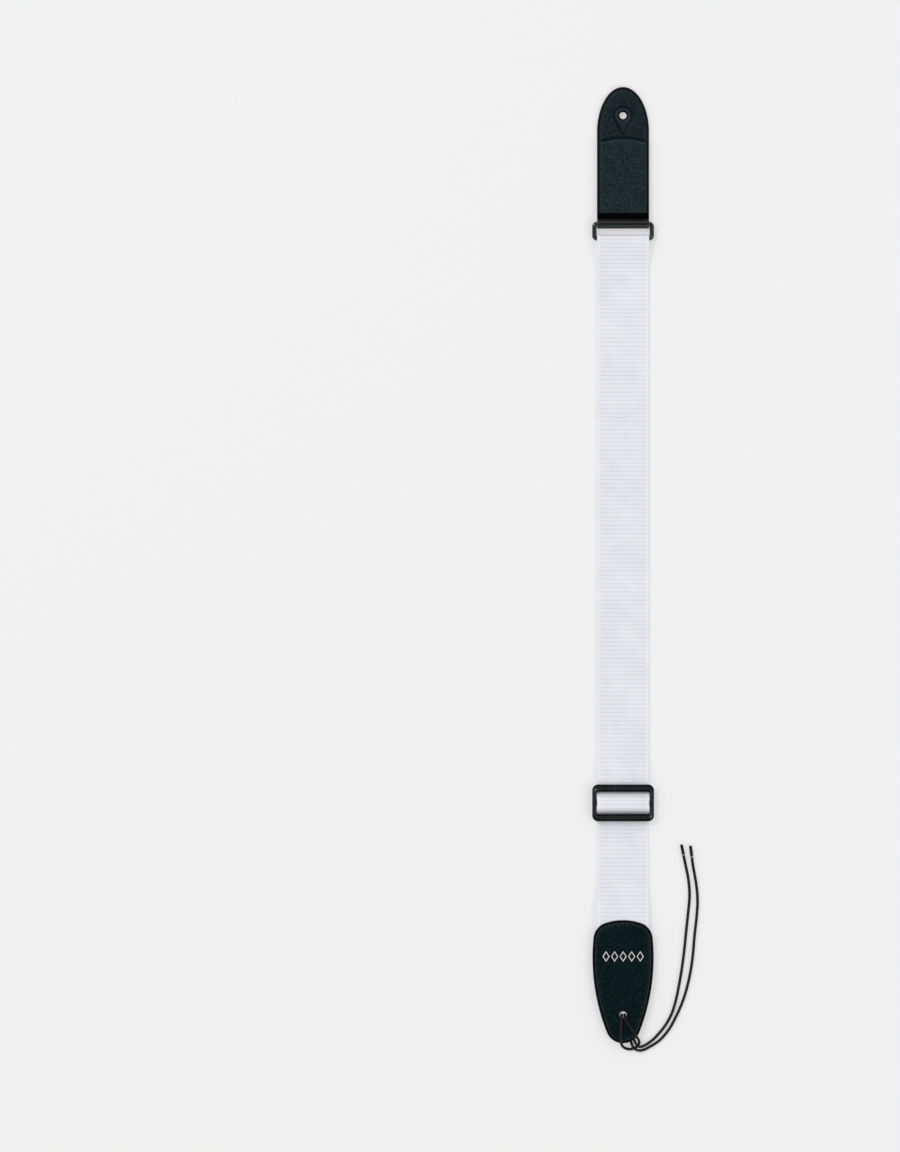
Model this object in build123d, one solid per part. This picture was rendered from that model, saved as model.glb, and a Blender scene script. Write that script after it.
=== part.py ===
from build123d import *
from math import atan2, cos, hypot, pi, sin, sqrt, tan
import os

# A guitar strap lying flat on its back: X across the webbing, +Y towards the buttonhole end, +Z up.
# The origin is the middle of its length and width, at the level of the surface that it lies on. Millimetres.

# Whole strap
strap_length = 919.0
slider_from_foot = 230.9  # from the lower end of the bottom tab to the middle of the slider

# Webbing
webbing_width = 50.0
webbing_thickness = 1.4
ply_gap = 0.05  # air between layers that lie on each other
running_gap = 0.3  # between the webbing and the bars that it slides on
side_gap = 0.4  # between the webbing's edges and the hardware's ends

# Slider, a frame with three bars
slider_height = 35.5
slider_thickness = 3.2
outer_bar = 7.3
centre_bar = 5.0
slider_leg = 4.3
slider_width = webbing_width + 2 * (side_gap + slider_leg)
slider_edge = 0.6  # rounding along the slider's bars
slider_corner = 5.5
sewn_flap = 30.0  # from the centre bar to the cut end of the webbing
wave_entry = 0.6  # from the lower bar's inner edge to where the webbing rises past it
wave_lead = 1.8  # how far the wave stands off the wrapped end below the centre bar
slider_reach_up = 45.0  # webbing that keeps its shape above and below the middle of the slider
slider_reach_down = 30.0

# Ring
ring_wire = 4.4
ring_width = webbing_width + 2 * (side_gap + ring_wire)
ring_height = 18.4
ring_corner = ring_wire + side_gap  # outside, so that the bars stay straight as far as the webbing reaches
ring_from_top = 138.7  # from the upper end of the strap to the middle of the ring
fold_reach = 35.0  # webbing that keeps its shape below the ring's lower bar

# Top tab
tab_width = webbing_width
tip_rise = 43.0  # height of the half ellipse that ends the tab
top_tab_length = 121.5
lining = 1.2
front_leather = 1.2
pad_height = 4.05
pad_edge = 5.0  # leather round the pad and the boards
tip_board = 1.6
buttonhole_radius = 3.4
buttonhole_from_top = 27.6
bead_radius = 7.0  # of the raised ring of leather round the buttonhole
bead_inner = 4.75
bead_rise = 0.6
drop_radius = 8.8  # of the drop-shaped seam round the buttonhole
drop_reach = 19.2  # from the buttonhole to the seam's point
slit_width = 0.8
slit_length = 12.0
cross_seam_from_top = 50.0
cross_seam_rise = 2.8
loop_leather = 2.0
loop_gap = 0.5  # between the ring and the leather that turns on it
loop_tail = 14.0  # of the folded leather, inside the tab

# Bottom tab
bottom_half_width = webbing_width / 2 + 4.4
widest_from_apex = 36.0
apex_arc = 55.0
shoulder_arc = 17.0
side_arc = 195.0
foot_arc = 17.0
back_leather = 1.5
cover_leather = 1.6
webbing_in_tab = 32.0
lace_hole_radius = 3.4
lace_hole_from_foot = 27.3
foot_slit_length = 16.0

# Stitching
seam_inset = 2.9
thread_width = 0.7
thread_height = 0.45
thread_gap = 0.1

# Lace
lace_diameter = 2.8
lace_gap = 0.1
tip_diameter = 3.2
inner_tip_length = 10.6
outer_tip_length = 11.4
lace_rest = 0.05  # the lace's lift off the surface, so that it never cuts into it

# Places that follow from the sizes above
top_end = strap_length / 2
foot_end = -strap_length / 2
slider_y = foot_end + slider_from_foot
ring_y = top_end - ring_from_top
bar_spacing = ring_height - ring_wire
lower_bar_y = ring_y - bar_spacing / 2
upper_bar_y = ring_y + bar_spacing / 2
ply = webbing_thickness + ply_gap
low_level = webbing_thickness / 2  # middle of the webbing that lies on the surface
high_level = low_level + ply
loop_radius = ring_wire / 2 + loop_gap + loop_leather / 2
fold_radius = ring_wire / 2 + running_gap + webbing_thickness / 2
ring_z = loop_radius + loop_leather / 2
slider_z = 3 * webbing_thickness + 2 * ply_gap + running_gap
slider_top = slider_z + slider_thickness
top_tab_end = top_end - top_tab_length
tab_floor = lace_diameter + 0.3
cover_floor = tab_floor + back_leather
pocket_top = cover_floor + webbing_thickness + 2 * ply_gap
cover_top = pocket_top + cover_leather
foot_offset = sqrt((side_arc - foot_arc) ** 2 - (side_arc - bottom_half_width) ** 2)
apex_y = foot_end + foot_arc + foot_offset + widest_from_apex
lace_hole_y = foot_end + lace_hole_from_foot
front_border = lower_bar_y - fold_reach
slider_border_up = slider_y + slider_reach_up
slider_border_down = slider_y - slider_reach_down
tail_border = apex_y + 5
buttonhole_y = top_end - buttonhole_from_top
cross_seam_y = top_end - cross_seam_from_top


def shifted(points, distance):
    """The same open polyline moved sideways, to its left when distance is positive."""
    moved = []
    for i, (y, z) in enumerate(points):
        before = points[max(i - 1, 0)]
        after = points[min(i + 1, len(points) - 1)]
        a = atan2(z - before[1], y - before[0]) if i else None
        b = atan2(after[1] - z, after[0] - y) if i < len(points) - 1 else a
        a = b if a is None else a
        half = (b - a) / 2
        reach = distance / cos(half)
        moved.append((y - reach * sin(a + half), z + reach * cos(a + half)))
    return moved


def side_line(points, radii, distance):
    """One side of a strip whose middle line is the filleted polyline."""
    turns = []
    for a, b, c in zip(points, points[1:], points[2:]):
        cross = (b[0] - a[0]) * (c[1] - b[1]) - (b[1] - a[1]) * (c[0] - b[0])
        turns.append(1 if cross > 0 else -1)
    kept = [r - turn * distance for r, turn in zip(radii, turns)]
    return Plane.YZ * FilletPolyline(*shifted(points, distance), radius=kept)


def strip(points, radii, thickness, width):
    """A strip as wide as width across X, bent along the (y, z) points of its middle line."""
    left = side_line(points, radii, thickness / 2)
    right = side_line(points, radii, -thickness / 2)
    edges = left.edges() + right.edges() + [Line(left @ 0, right @ 0), Line(left @ 1, right @ 1)]
    face = make_face(edges)
    return extrude(face, width / 2, dir=(1, 0, 0), both=True)


def side_profile(points, width):
    """A block whose (y, z) outline is the polygon."""
    face = make_face(Plane.YZ * Polyline(*points, close=True))
    return extrude(face, width / 2, dir=(1, 0, 0), both=True)


def slab(sketch, low, high):
    """A flat sketch raised between two heights."""
    return extrude(Pos(0, 0, low) * sketch, high - low)


# Webbing: one length, divided where it passes from one moving body to the next


def ring_fold():
    """The bend round the ring's lower bar, with both runs closing on each other."""
    points = [
        (front_border, low_level),
        (lower_bar_y - 24, low_level),
        (lower_bar_y - 7, ring_z - fold_radius),
        (lower_bar_y + fold_radius, ring_z - fold_radius),
        (lower_bar_y + fold_radius, ring_z + fold_radius),
        (lower_bar_y - 5, ring_z + fold_radius),
        (lower_bar_y - 25, high_level),
        (front_border, high_level),
    ]
    bend = fold_radius - ply_gap
    return strip(points, [30, 20, bend, bend, 8, 20], webbing_thickness, webbing_width)


def over_centre_bar():
    """The wave: behind the lower bar, over the sewn end on the centre bar, behind the upper bar."""
    wrap = centre_bar / 2 + running_gap + webbing_thickness / 2
    crest = slider_top + running_gap + webbing_thickness / 2 + ply
    third_level = high_level + ply
    points = [
        (slider_border_down, low_level),
        (slider_y - slider_height / 2 - 4, low_level),
        (slider_y - slider_height / 2 + outer_bar + wave_entry, slider_z - running_gap - webbing_thickness * 0.9),
        (slider_y - wrap - wave_lead, crest),
        (slider_y + wrap + webbing_thickness / 2, crest),
        (slider_y + slider_height / 2 - outer_bar - webbing_thickness / 2 - ply_gap, third_level),
        (slider_y + sewn_flap + 1, third_level),
        (slider_y + sewn_flap + 9, high_level),
        (slider_border_up, high_level),
    ]
    return strip(points, [15, 2, 3, 2.6, 2.2, 12, 12], webbing_thickness, webbing_width)


def flap_rows(gap):
    """Stitching across the flap, sunk in the outer faces of the flap and of the run below it."""
    rows = []
    flap_top = 2 * webbing_thickness + ply_gap
    depth = thread_height + gap / 2
    for y in (slider_y + sewn_flap - 4, slider_y + sewn_flap - 12):
        row = Pos(0, y) * Rectangle(webbing_width - 2 * seam_inset + 2 * gap, thread_width + 2 * gap)
        rows.append(slab(row, flap_top - depth, flap_top))
        rows.append(slab(row, 0, depth))
    return rows


def sewn_end():
    """The end of the webbing, wrapped round the centre bar and laid back on itself."""
    wrap = centre_bar / 2 + running_gap + webbing_thickness / 2
    under = slider_z - running_gap - webbing_thickness / 2
    over = slider_top + running_gap + webbing_thickness / 2
    points = [
        (slider_border_up, low_level),
        (slider_y + 6, low_level),
        (slider_y - 1, under),
        (slider_y - wrap, under + 0.6),
        (slider_y - wrap, over),
        (slider_y + wrap, over),
        (slider_y + slider_height / 2 - outer_bar - ply, high_level),
        (slider_y + sewn_flap, high_level),
    ]
    end = strip(points, [6, 2.5, 1.2, 1.6, 1.6, 2], webbing_thickness, webbing_width)
    for row in flap_rows(thread_gap):
        end = end - row
    return end


def flat_run(start, end, level):
    middle = (start + end) / 2
    return Pos(0, middle, level) * Box(webbing_width, end - start, webbing_thickness)


def lower_run():
    """From the tab down to the surface and on to the slider."""
    level = cover_floor + ply_gap + webbing_thickness / 2
    points = [
        (tail_border, level),
        (tail_border + 6, level),
        (tail_border + 30, low_level),
        (slider_border_down, low_level),
    ]
    return strip(points, [30, 40], webbing_thickness, webbing_width)


# Slider and ring


def slider_frame():
    outline = RectangleRounded(slider_width, slider_height, slider_corner)
    window_height = (slider_height - 2 * outer_bar - centre_bar) / 2
    window = RectangleRounded(slider_width - 2 * slider_leg, window_height, 1.2)
    shift = centre_bar / 2 + window_height / 2
    outline = outline - Pos(0, shift) * window - Pos(0, -shift) * window
    frame = slab(Pos(0, slider_y) * outline, slider_z, slider_top)
    upper = frame.edges().group_by(Axis.Z)[-1]
    lower = frame.edges().group_by(Axis.Z)[0]
    return fillet(upper + lower, slider_edge)


def ring():
    loop = RectangleRounded(ring_width - ring_wire, ring_height - ring_wire, ring_corner - ring_wire / 2)
    path = Pos(0, ring_y, ring_z) * loop.wire()
    start = path @ 0
    section = Plane(origin=start, z_dir=path % 0) * Circle(ring_wire / 2)
    return sweep(section, path=path)


def loop_leather_strip():
    """The leather folded round the ring's upper bar, with both tails inside the tab."""
    tail = top_tab_end + loop_tail
    low_tail = lining + loop_leather / 2
    high_tail = low_tail + loop_leather + ply_gap
    bend = loop_radius - ply_gap
    points = [
        (tail, low_tail),
        (top_tab_end - 1, low_tail),
        (upper_bar_y + 3, ring_z - loop_radius),
        (upper_bar_y - loop_radius, ring_z - loop_radius),
        (upper_bar_y - loop_radius, ring_z + loop_radius),
        (upper_bar_y + 1.6, ring_z + loop_radius),
        (top_tab_end - 1.4, high_tail),
        (tail, high_tail),
    ]
    return strip(points, [6, 6, bend, bend, 3, 5], loop_leather, tab_width)


# Top tab


def top_outline(inset):
    """A half ellipse over a straight-sided strip, its edge moved in by inset."""
    centre = top_end - tip_rise
    ellipse = Pos(0, centre) * Ellipse(tab_width / 2 - inset, tip_rise - inset)
    base = top_tab_end + inset
    straight = Pos(0, (centre + base) / 2) * Rectangle(tab_width - 2 * inset, centre - base)
    lower_half = Pos(0, centre - tip_rise) * Rectangle(2 * tab_width, 2 * tip_rise)
    return (ellipse - lower_half) + straight


def top_profile(lift, floor):
    """The tab's section along Y, from floor up to its surface moved by lift."""
    panel = lining + pad_height + front_leather + lift
    tip = lining + tip_board + front_leather + lift
    return side_profile(
        [
            (top_tab_end - 1, floor),
            (top_tab_end - 1, panel),
            (cross_seam_y - 6, panel),
            (cross_seam_y, tip),
            (top_end + 1, tip),
            (top_end + 1, floor),
        ],
        tab_width + 2,
    )


def buttonhole():
    height = 4 * pad_height
    slit = Pos(0, buttonhole_y - slit_length / 2 - buttonhole_radius / 2, height / 4)
    return Pos(0, buttonhole_y, height / 4) * Cylinder(buttonhole_radius, height) + slit * Box(
        slit_width, slit_length + buttonhole_radius, height
    )


def edge_band(half):
    """The line of the edge seam, half as wide as twice half."""
    ring_band = top_outline(seam_inset - half) - top_outline(seam_inset + half)
    top_of_row = slab(ring_band, -1, 3 * pad_height)
    return top_of_row - Pos(0, top_tab_end, 0) * Box(tab_width - 4 * seam_inset, 4 * seam_inset, 8 * pad_height)


def cross_band(half):
    """The arched seam between the tip and the padded panel."""
    rise, span = cross_seam_rise, tab_width / 2 - 2 * seam_inset
    radius = (span**2 + rise**2) / (2 * rise)
    centre = cross_seam_y + 1.5 - radius
    arc = Circle(radius + half) - Circle(radius - half)
    keep = Pos(0, radius) * Rectangle(2 * span, radius)
    return slab(Pos(0, centre) * (arc & keep), -1, 3 * pad_height)


def keyhole_band(half):
    """The drop-shaped seam round the buttonhole."""
    angle = pi / 2 - atan2(sqrt(drop_reach**2 - drop_radius**2), drop_radius)

    def drop_shape(r):
        tip = drop_reach * r / drop_radius
        side = (r * cos(angle), -r * sin(angle))
        triangle = make_face(Polyline((0, -tip), side, (-side[0], side[1]), close=True))
        return Circle(r) + triangle

    band = drop_shape(drop_radius + half) - drop_shape(drop_radius - half)
    return slab(Pos(0, buttonhole_y) * band, -1, 3 * pad_height)


def base_band(half):
    """The straight seam that holds the folded leather."""
    return Pos(0, top_tab_end + seam_inset / 2, pad_height) * Box(
        tab_width - 2 * seam_inset, 2 * half, 4 * pad_height
    )


def skin(depth):
    """The outermost layer of the tab's surface."""
    return top_profile(0, 0) - top_profile(-depth, -1)


def seam_thread(band):
    """A thread lying in its groove, just under the surface."""
    return band(thread_width / 2) & (top_profile(0, 0) - top_profile(-thread_height, -1))


def top_front():
    cover = slab(top_outline(0), lining, 2 * pad_height + lining) & top_profile(0, -1)
    pocket = slab(top_outline(pad_edge), 0, 2 * pad_height + lining) & top_profile(-front_leather, -1)
    tails = Pos(0, top_tab_end + loop_tail / 2) * Rectangle(tab_width + 2, loop_tail + ply_gap)
    cover = cover - pocket - slab(tails, 0, lining + pad_height)
    bead = Cylinder(bead_radius, bead_rise) - Cylinder(bead_inner, 2 * bead_rise)
    cover = cover + Pos(0, buttonhole_y, lining + tip_board + front_leather + bead_rise / 2) * bead
    groove_skin = skin(thread_height + ply_gap)
    for band in (edge_band, cross_band, keyhole_band, base_band):
        cover = cover - (band(thread_width / 2 + thread_gap) & groove_skin)
    return cover - buttonhole()


def top_lining():
    return slab(top_outline(0), 0, lining) - buttonhole()


def top_pad():
    base = top_tab_end + loop_tail + 1
    end = cross_seam_y - 7
    block = Pos(0, (base + end) / 2) * Rectangle(tab_width - 2 * pad_edge - 1, end - base)
    return slab(block, lining, lining + pad_height)


def top_board():
    cut = Pos(0, cross_seam_y - tip_rise) * Rectangle(2 * tab_width, 2 * tip_rise)
    return slab(top_outline(pad_edge + 0.3) - cut, lining, lining + tip_board) - buttonhole()


# Bottom tab


def circle_meet(first, r_first, second, r_second):
    """The right-hand point where two circles cross."""
    dx, dy = second[0] - first[0], second[1] - first[1]
    apart = hypot(dx, dy)
    along = (r_first**2 - r_second**2 + apart**2) / (2 * apart)
    across = sqrt(r_first**2 - along**2)
    x = first[0] + (along * dx - across * dy) / apart
    y = first[1] + (along * dy + across * dx) / apart
    other_x = first[0] + (along * dx + across * dy) / apart
    other_y = first[1] + (along * dy - across * dx) / apart
    return (x, y) if x > other_x else (other_x, other_y)


def bottom_outline(inset):
    """Seven tangent arcs: apex, two shoulders, two long sides and the foot, moved in by inset."""
    apex_centre = (0, apex_y - apex_arc)
    side_centre = (bottom_half_width - side_arc, apex_y - widest_from_apex)
    foot_centre = (0, foot_end + foot_arc)
    shoulder = circle_meet(apex_centre, apex_arc - shoulder_arc, side_centre, side_arc - shoulder_arc)

    def on_arc(centre, radius, towards):
        dx, dy = towards[0] - centre[0], towards[1] - centre[1]
        size = (radius - inset) / hypot(dx, dy)
        return centre[0] + dx * size, centre[1] + dy * size

    def mirrored(point):
        return -point[0], point[1]

    apex = (0, apex_y - inset)
    upper = on_arc(apex_centre, apex_arc, shoulder)
    lower = on_arc(side_centre, side_arc, shoulder)
    foot_side = on_arc(side_centre, side_arc, foot_centre)
    foot = (0, foot_end + inset)
    bulge = ((upper[0] + lower[0]) / 2, (upper[1] + lower[1]) / 2)
    corner = on_arc(shoulder, shoulder_arc, bulge)
    widest = (bottom_half_width - inset, apex_y - widest_from_apex)
    right = [
        ThreePointArc(upper, corner, lower),
        ThreePointArc(lower, widest, foot_side),
    ]
    left = [
        ThreePointArc(mirrored(upper), mirrored(corner), mirrored(lower)),
        ThreePointArc(mirrored(lower), mirrored(widest), mirrored(foot_side)),
    ]
    ends = [
        ThreePointArc(mirrored(upper), apex, upper),
        ThreePointArc(mirrored(foot_side), foot, foot_side),
    ]
    return make_face(right + left + ends)


def lace_hole():
    height = 4 * cover_top
    slit = Pos(0, lace_hole_y + (lace_hole_radius + foot_slit_length) / 2, 0)
    return Pos(0, lace_hole_y, 0) * Cylinder(lace_hole_radius, height) + slit * Box(
        slit_width, lace_hole_radius + foot_slit_length, height
    )


def webbing_pocket(gap):
    width = webbing_width + 2 * gap
    length = webbing_in_tab + gap
    return Pos(0, apex_y - length / 2 + 10) * Rectangle(width, length + 20)


def bottom_band(half):
    return bottom_outline(seam_inset - half) - bottom_outline(seam_inset + half)


def bottom_front():
    cover = slab(bottom_outline(0), cover_floor, cover_top)
    cover = cover - slab(bottom_outline(pad_edge), cover_floor, pocket_top)
    cover = cover - slab(webbing_pocket(0.3), cover_floor, pocket_top)
    groove = slab(bottom_band(thread_width / 2 + thread_gap), cover_top - thread_height - ply_gap, cover_top)
    return cover - groove - lace_hole()


def bottom_back():
    back = slab(bottom_outline(0), tab_floor, cover_floor)
    groove = slab(bottom_band(thread_width / 2 + thread_gap), tab_floor, tab_floor + thread_height + ply_gap)
    return back - groove - lace_hole()


def bottom_core():
    shape = bottom_outline(pad_edge + 0.3) - webbing_pocket(0.6)
    return slab(shape, cover_floor + ply_gap, pocket_top - ply_gap) - lace_hole()


def bottom_thread():
    band = bottom_band(thread_width / 2)
    upper = slab(band, cover_top - thread_height, cover_top)
    lower = slab(band, tab_floor, tab_floor + thread_height)
    return Compound(children=[upper, lower])


# Lace: one length, doubled through the hole of the bottom tab in a lark's head.
# Points are measured from the middle of the hole. low is the surface's level and high is the tab's.
low = lace_diameter / 2 + lace_rest
high = cover_top + lace_gap + lace_diameter / 2
bend = 2.2  # half of the turn into the hole

bight_route = [
    (-1.8, -7.6, high),
    (-2.2, -13.5, high),
    (-2.3, -20.5, high),
    (-1.9, -28.2, high + 0.3),
    (0.4, -31.3, high - 4.0),
    (3.6, -33.0, low + 0.9),
    (7.4, -33.4, low),
    (11.0, -32.5, low),
    (13.8, -30.4, low + 0.1),
    (15.6, -27.8, low + 1.3),
    (15.4, -24.7, low + 4.9),
    (13.6, -22.0, high + 0.3),
    (10.2, -17.0, high),
    (7.0, -11.8, high),
    (4.2, -7.6, high),
]
inner_route = [
    (4.2, -7.6, high),
    (2.6, -5.2, high),
    (1.7, -2.2, high),
    (1.5, 0.0, high - bend),
    (1.5, 0.0, low + bend),
    (1.6, -2.3, low),
    (2.2, -6.6, low),
    (4.6, -13.2, low),
    (8.2, -19.4, low),
    (11.0, -24.8, low + 0.1),
    (12.6, -28.9, low + 3.2),
    (15.9, -31.2, low + 3.3),
    (19.8, -30.2, low + 1.8),
    (24.0, -27.7, low + 0.5),
    (28.6, -24.5, low),
    (34.1, -18.8, low),
    (39.4, -12.4, low),
    (43.6, -5.8, low),
    (47.6, 2.2, low),
    (51.2, 14.7, low),
    (54.0, 28.7, low),
    (56.7, 44.7, low),
    (59.0, 62.2, low),
    (60.7, 80.2, low),
    (62.6, 97.7, low),
    (64.4, 114.7, low),
    (62.9, 131.2, low),
    (59.6, 146.2, low),
    (58.2, 153.2, low),
]
outer_route = [
    (-1.8, -7.6, high),
    (-1.62, -5.0, high),
    (-1.6, -2.2, high),
    (-1.5, 0.0, high - bend),
    (-1.5, 0.0, low + bend),
    (-1.4, -2.3, low),
    (-0.8, -6.6, low),
    (1.6, -13.6, low),
    (5.0, -20.2, low),
    (8.0, -26.4, low + 0.1),
    (9.2, -31.0, low + 3.2),
    (12.6, -34.0, low + 2.7),
    (17.2, -34.7, low + 1.0),
    (22.2, -33.0, low + 0.1),
    (26.9, -30.3, low),
    (31.6, -27.6, low),
    (36.6, -23.6, low),
    (41.2, -18.4, low),
    (45.6, -12.4, low),
    (49.8, -4.4, low),
    (54.2, 4.7, low),
    (58.6, 15.7, low),
    (62.2, 28.2, low),
    (65.2, 42.2, low),
    (67.4, 58.2, low),
    (68.7, 76.2, low),
    (70.9, 93.7, low),
    (72.0, 110.2, low),
    (70.4, 126.7, low),
    (67.3, 142.2, low),
    (66.2, 151.2, low),
]


def lace_path(route):
    """Straight runs joined by tangent arcs, each as large as its two runs allow."""
    points = [Vector(x, lace_hole_y + y, z) for x, y, z in route]
    radii = []
    for a, b, c in zip(points, points[1:], points[2:]):
        turn = (b - a).get_angle(c - b) * pi / 180
        shorter = min((b - a).length, (c - b).length)
        radii.append(0.45 * shorter / tan(turn / 2))
    print("  radii", [round(r, 1) for r in radii])
    return FilletPolyline(*points, radius=radii)


def lace_tube(route):
    path = lace_path(route)
    section = Plane(origin=path @ 0, z_dir=path % 0) * Circle(lace_diameter / 2)
    tube = sweep(section, path=path)
    expected = pi * lace_diameter**2 / 4 * path.length
    print("  length", round(path.length, 1), "volume over section x length", round(tube.volume / expected, 4))
    return tube


def lace_tip(route, length):
    """The bound end, which starts where the lace's route stops."""
    end = Vector(*route[-1]) + Vector(0, lace_hole_y, 0)
    way = Vector(*route[-1]) - Vector(*route[-2])
    start = end + Vector(0, 0, (tip_diameter - lace_diameter) / 2)
    plane = Plane(origin=start, z_dir=way)
    return extrude(plane * Circle(tip_diameter / 2), length)


def build():
    hidden_level = cover_floor + ply_gap + webbing_thickness / 2
    parts = {
        "bottom_tab_front": bottom_front(),
        "bottom_tab_back": bottom_back(),
        "bottom_tab_core": bottom_core(),
        "bottom_tab_thread": bottom_thread(),
        "webbing_tail": flat_run(apex_y - webbing_in_tab, tail_border, hidden_level),
        "webbing_lower": lower_run(),
        "webbing_over_bar": over_centre_bar(),
        "webbing_sewn_end": sewn_end(),
        "sewn_end_thread": Compound(children=flap_rows(0)),
        "slider_frame": slider_frame(),
        "webbing_front_run": flat_run(slider_border_up, front_border, high_level),
        "webbing_back_run": flat_run(slider_border_up, front_border, low_level),
        "webbing_ring_fold": ring_fold(),
        "ring": ring(),
        "ring_loop_leather": loop_leather_strip(),
        "top_tab_front": top_front(),
        "top_tab_lining": top_lining(),
        "top_tab_pad": top_pad(),
        "top_tab_tip_board": top_board(),
        "edge_thread": seam_thread(edge_band),
        "cross_seam_thread": seam_thread(cross_band),
        "keyhole_thread": seam_thread(keyhole_band),
        "base_seam_thread": seam_thread(base_band),
        "lace_bight": lace_tube(bight_route),
        "lace_inner": lace_tube(inner_route),
        "lace_outer": lace_tube(outer_route),
        "lace_tip_inner": lace_tip(inner_route, inner_tip_length),
        "lace_tip_outer": lace_tip(outer_route, outer_tip_length),
    }
    os.makedirs("parts", exist_ok=True)
    for name, shape in parts.items():
        export_step(shape, f"parts/{name}.step")
        box = shape.bounding_box()
        spans = zip("xyz", box.min, box.max)
        print(name, *(f"{axis} {low_side:.2f} {high_side:.2f}" for axis, low_side, high_side in spans))


build()
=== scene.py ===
import math
from functools import partial
import bmesh
import bpy
import numpy as np
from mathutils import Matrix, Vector, noise


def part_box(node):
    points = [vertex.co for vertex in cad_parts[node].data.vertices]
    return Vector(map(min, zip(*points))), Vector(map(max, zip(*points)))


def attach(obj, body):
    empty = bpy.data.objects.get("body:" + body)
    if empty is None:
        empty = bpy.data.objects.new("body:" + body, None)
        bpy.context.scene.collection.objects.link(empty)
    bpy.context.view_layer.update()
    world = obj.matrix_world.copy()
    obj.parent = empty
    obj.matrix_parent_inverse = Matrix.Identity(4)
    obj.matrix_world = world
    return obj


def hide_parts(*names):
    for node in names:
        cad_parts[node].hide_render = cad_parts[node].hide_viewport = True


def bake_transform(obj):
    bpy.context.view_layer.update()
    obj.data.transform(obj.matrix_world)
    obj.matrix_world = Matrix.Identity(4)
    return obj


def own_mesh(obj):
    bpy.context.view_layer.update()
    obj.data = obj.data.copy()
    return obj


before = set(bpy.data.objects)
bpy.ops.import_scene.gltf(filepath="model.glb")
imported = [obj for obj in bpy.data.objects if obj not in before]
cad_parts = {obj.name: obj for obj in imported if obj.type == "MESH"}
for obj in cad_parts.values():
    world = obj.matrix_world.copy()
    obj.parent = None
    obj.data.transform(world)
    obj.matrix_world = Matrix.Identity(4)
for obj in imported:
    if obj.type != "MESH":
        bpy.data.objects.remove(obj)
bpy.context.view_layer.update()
mm = 0.001
fullTurn = 2 * math.pi


# Camera, light and floor

studio = {
    "viewCentre": (-0.1663, -0.0106),
    "viewHeight": 1.1077,
    "cameraDistance": 7.0,
    "floorTone": 0.42,
    "floorGlow": 0.45,
    "floorReach": 9,
    "floorDrop": 0.0002,
    "skyStrength": 0.9,
    "skyStops": ((0.0, 0.62), (0.45, 1.0), (0.80, 1.0), (0.95, 0.10)),  # height and tone
    "key": {"place": (-2.4, 2.0, 4.2), "size": 1.8, "power": 77},
    "fill": {"place": (2.8, -1.8, 3.6), "size": 2.4, "power": 38},
}


def addObject(name, data):
    thing = bpy.data.objects.new(name, data)
    bpy.context.collection.objects.link(thing)
    return thing


def addLight(name, place, size, power):
    light = bpy.data.lights.new(name, "AREA")
    light.size = size
    light.energy = power
    lamp = addObject(name, light)
    lamp.location = place
    lamp.rotation_euler = (-Vector(place)).to_track_quat("-Z", "Y").to_euler()  # aimed at the origin


def buildSky():
    # bright round the sides and dark overhead, like a tent of soft boxes with the camera looking in at the top
    world = bpy.data.worlds.new("studioSky")
    world.use_nodes = True
    nodes, links = world.node_tree.nodes, world.node_tree.links
    spot = nodes.new("ShaderNodeTexCoord")
    parts = nodes.new("ShaderNodeSeparateXYZ")
    ramp = nodes.new("ShaderNodeValToRGB")
    stops = studio["skyStops"]
    ramp.color_ramp.elements[0].position = stops[0][0]
    ramp.color_ramp.elements[1].position = stops[-1][0]
    for place, tone in stops[1:-1]:
        ramp.color_ramp.elements.new(place)
    for element, (place, tone) in zip(ramp.color_ramp.elements, stops):
        element.color = (tone, tone, tone, 1)
    links.new(spot.outputs["Generated"], parts.inputs[0])
    links.new(parts.outputs[2], ramp.inputs["Fac"])
    links.new(ramp.outputs["Color"], nodes["Background"].inputs["Color"])
    nodes["Background"].inputs["Strength"].default_value = studio["skyStrength"]
    return world


def buildCamera():
    camera = addObject("camera", bpy.data.cameras.new("camera"))
    camera.location = (*studio["viewCentre"], studio["cameraDistance"])
    camera.data.sensor_fit = "AUTO"
    camera.data.lens = camera.data.sensor_width * studio["cameraDistance"] / studio["viewHeight"]
    camera.data.clip_end = 50
    return camera


def buildFloor():
    reach, tone = studio["floorReach"], studio["floorTone"]
    mesh = bpy.data.meshes.new("floor")
    corners = [(x * reach, y * reach, 0) for x, y in ((-1, -1), (1, -1), (1, 1), (-1, 1))]
    mesh.from_pydata(corners, [], [(0, 1, 2, 3)])
    floor = addObject("floor", mesh)
    floor.location.z = -studio["floorDrop"]
    material = bpy.data.materials.new("paleFloor")
    material.use_nodes = True
    shader = material.node_tree.nodes["Principled BSDF"]
    shader.inputs["Base Color"].default_value = (tone, tone, tone, 1)
    shader.inputs["Roughness"].default_value = 0.9
    shader.inputs["Specular IOR Level"].default_value = 0.1
    shader.inputs["Emission Color"].default_value = (1, 1, 1, 1)
    shader.inputs["Emission Strength"].default_value = studio["floorGlow"]
    mesh.materials.append(material)


def buildStudio():
    scene = bpy.context.scene
    scene.camera = buildCamera()
    scene.view_settings.view_transform = "Standard"
    scene.world = buildSky()
    addLight("keyLight", **studio["key"])
    addLight("fillLight", **studio["fill"])
    buildFloor()


buildStudio()
print("studio ready")


# Places and sizes, read from the frame


def spanOf(node):
    return [[float(v) for v in corner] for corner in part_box(node)]


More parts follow.
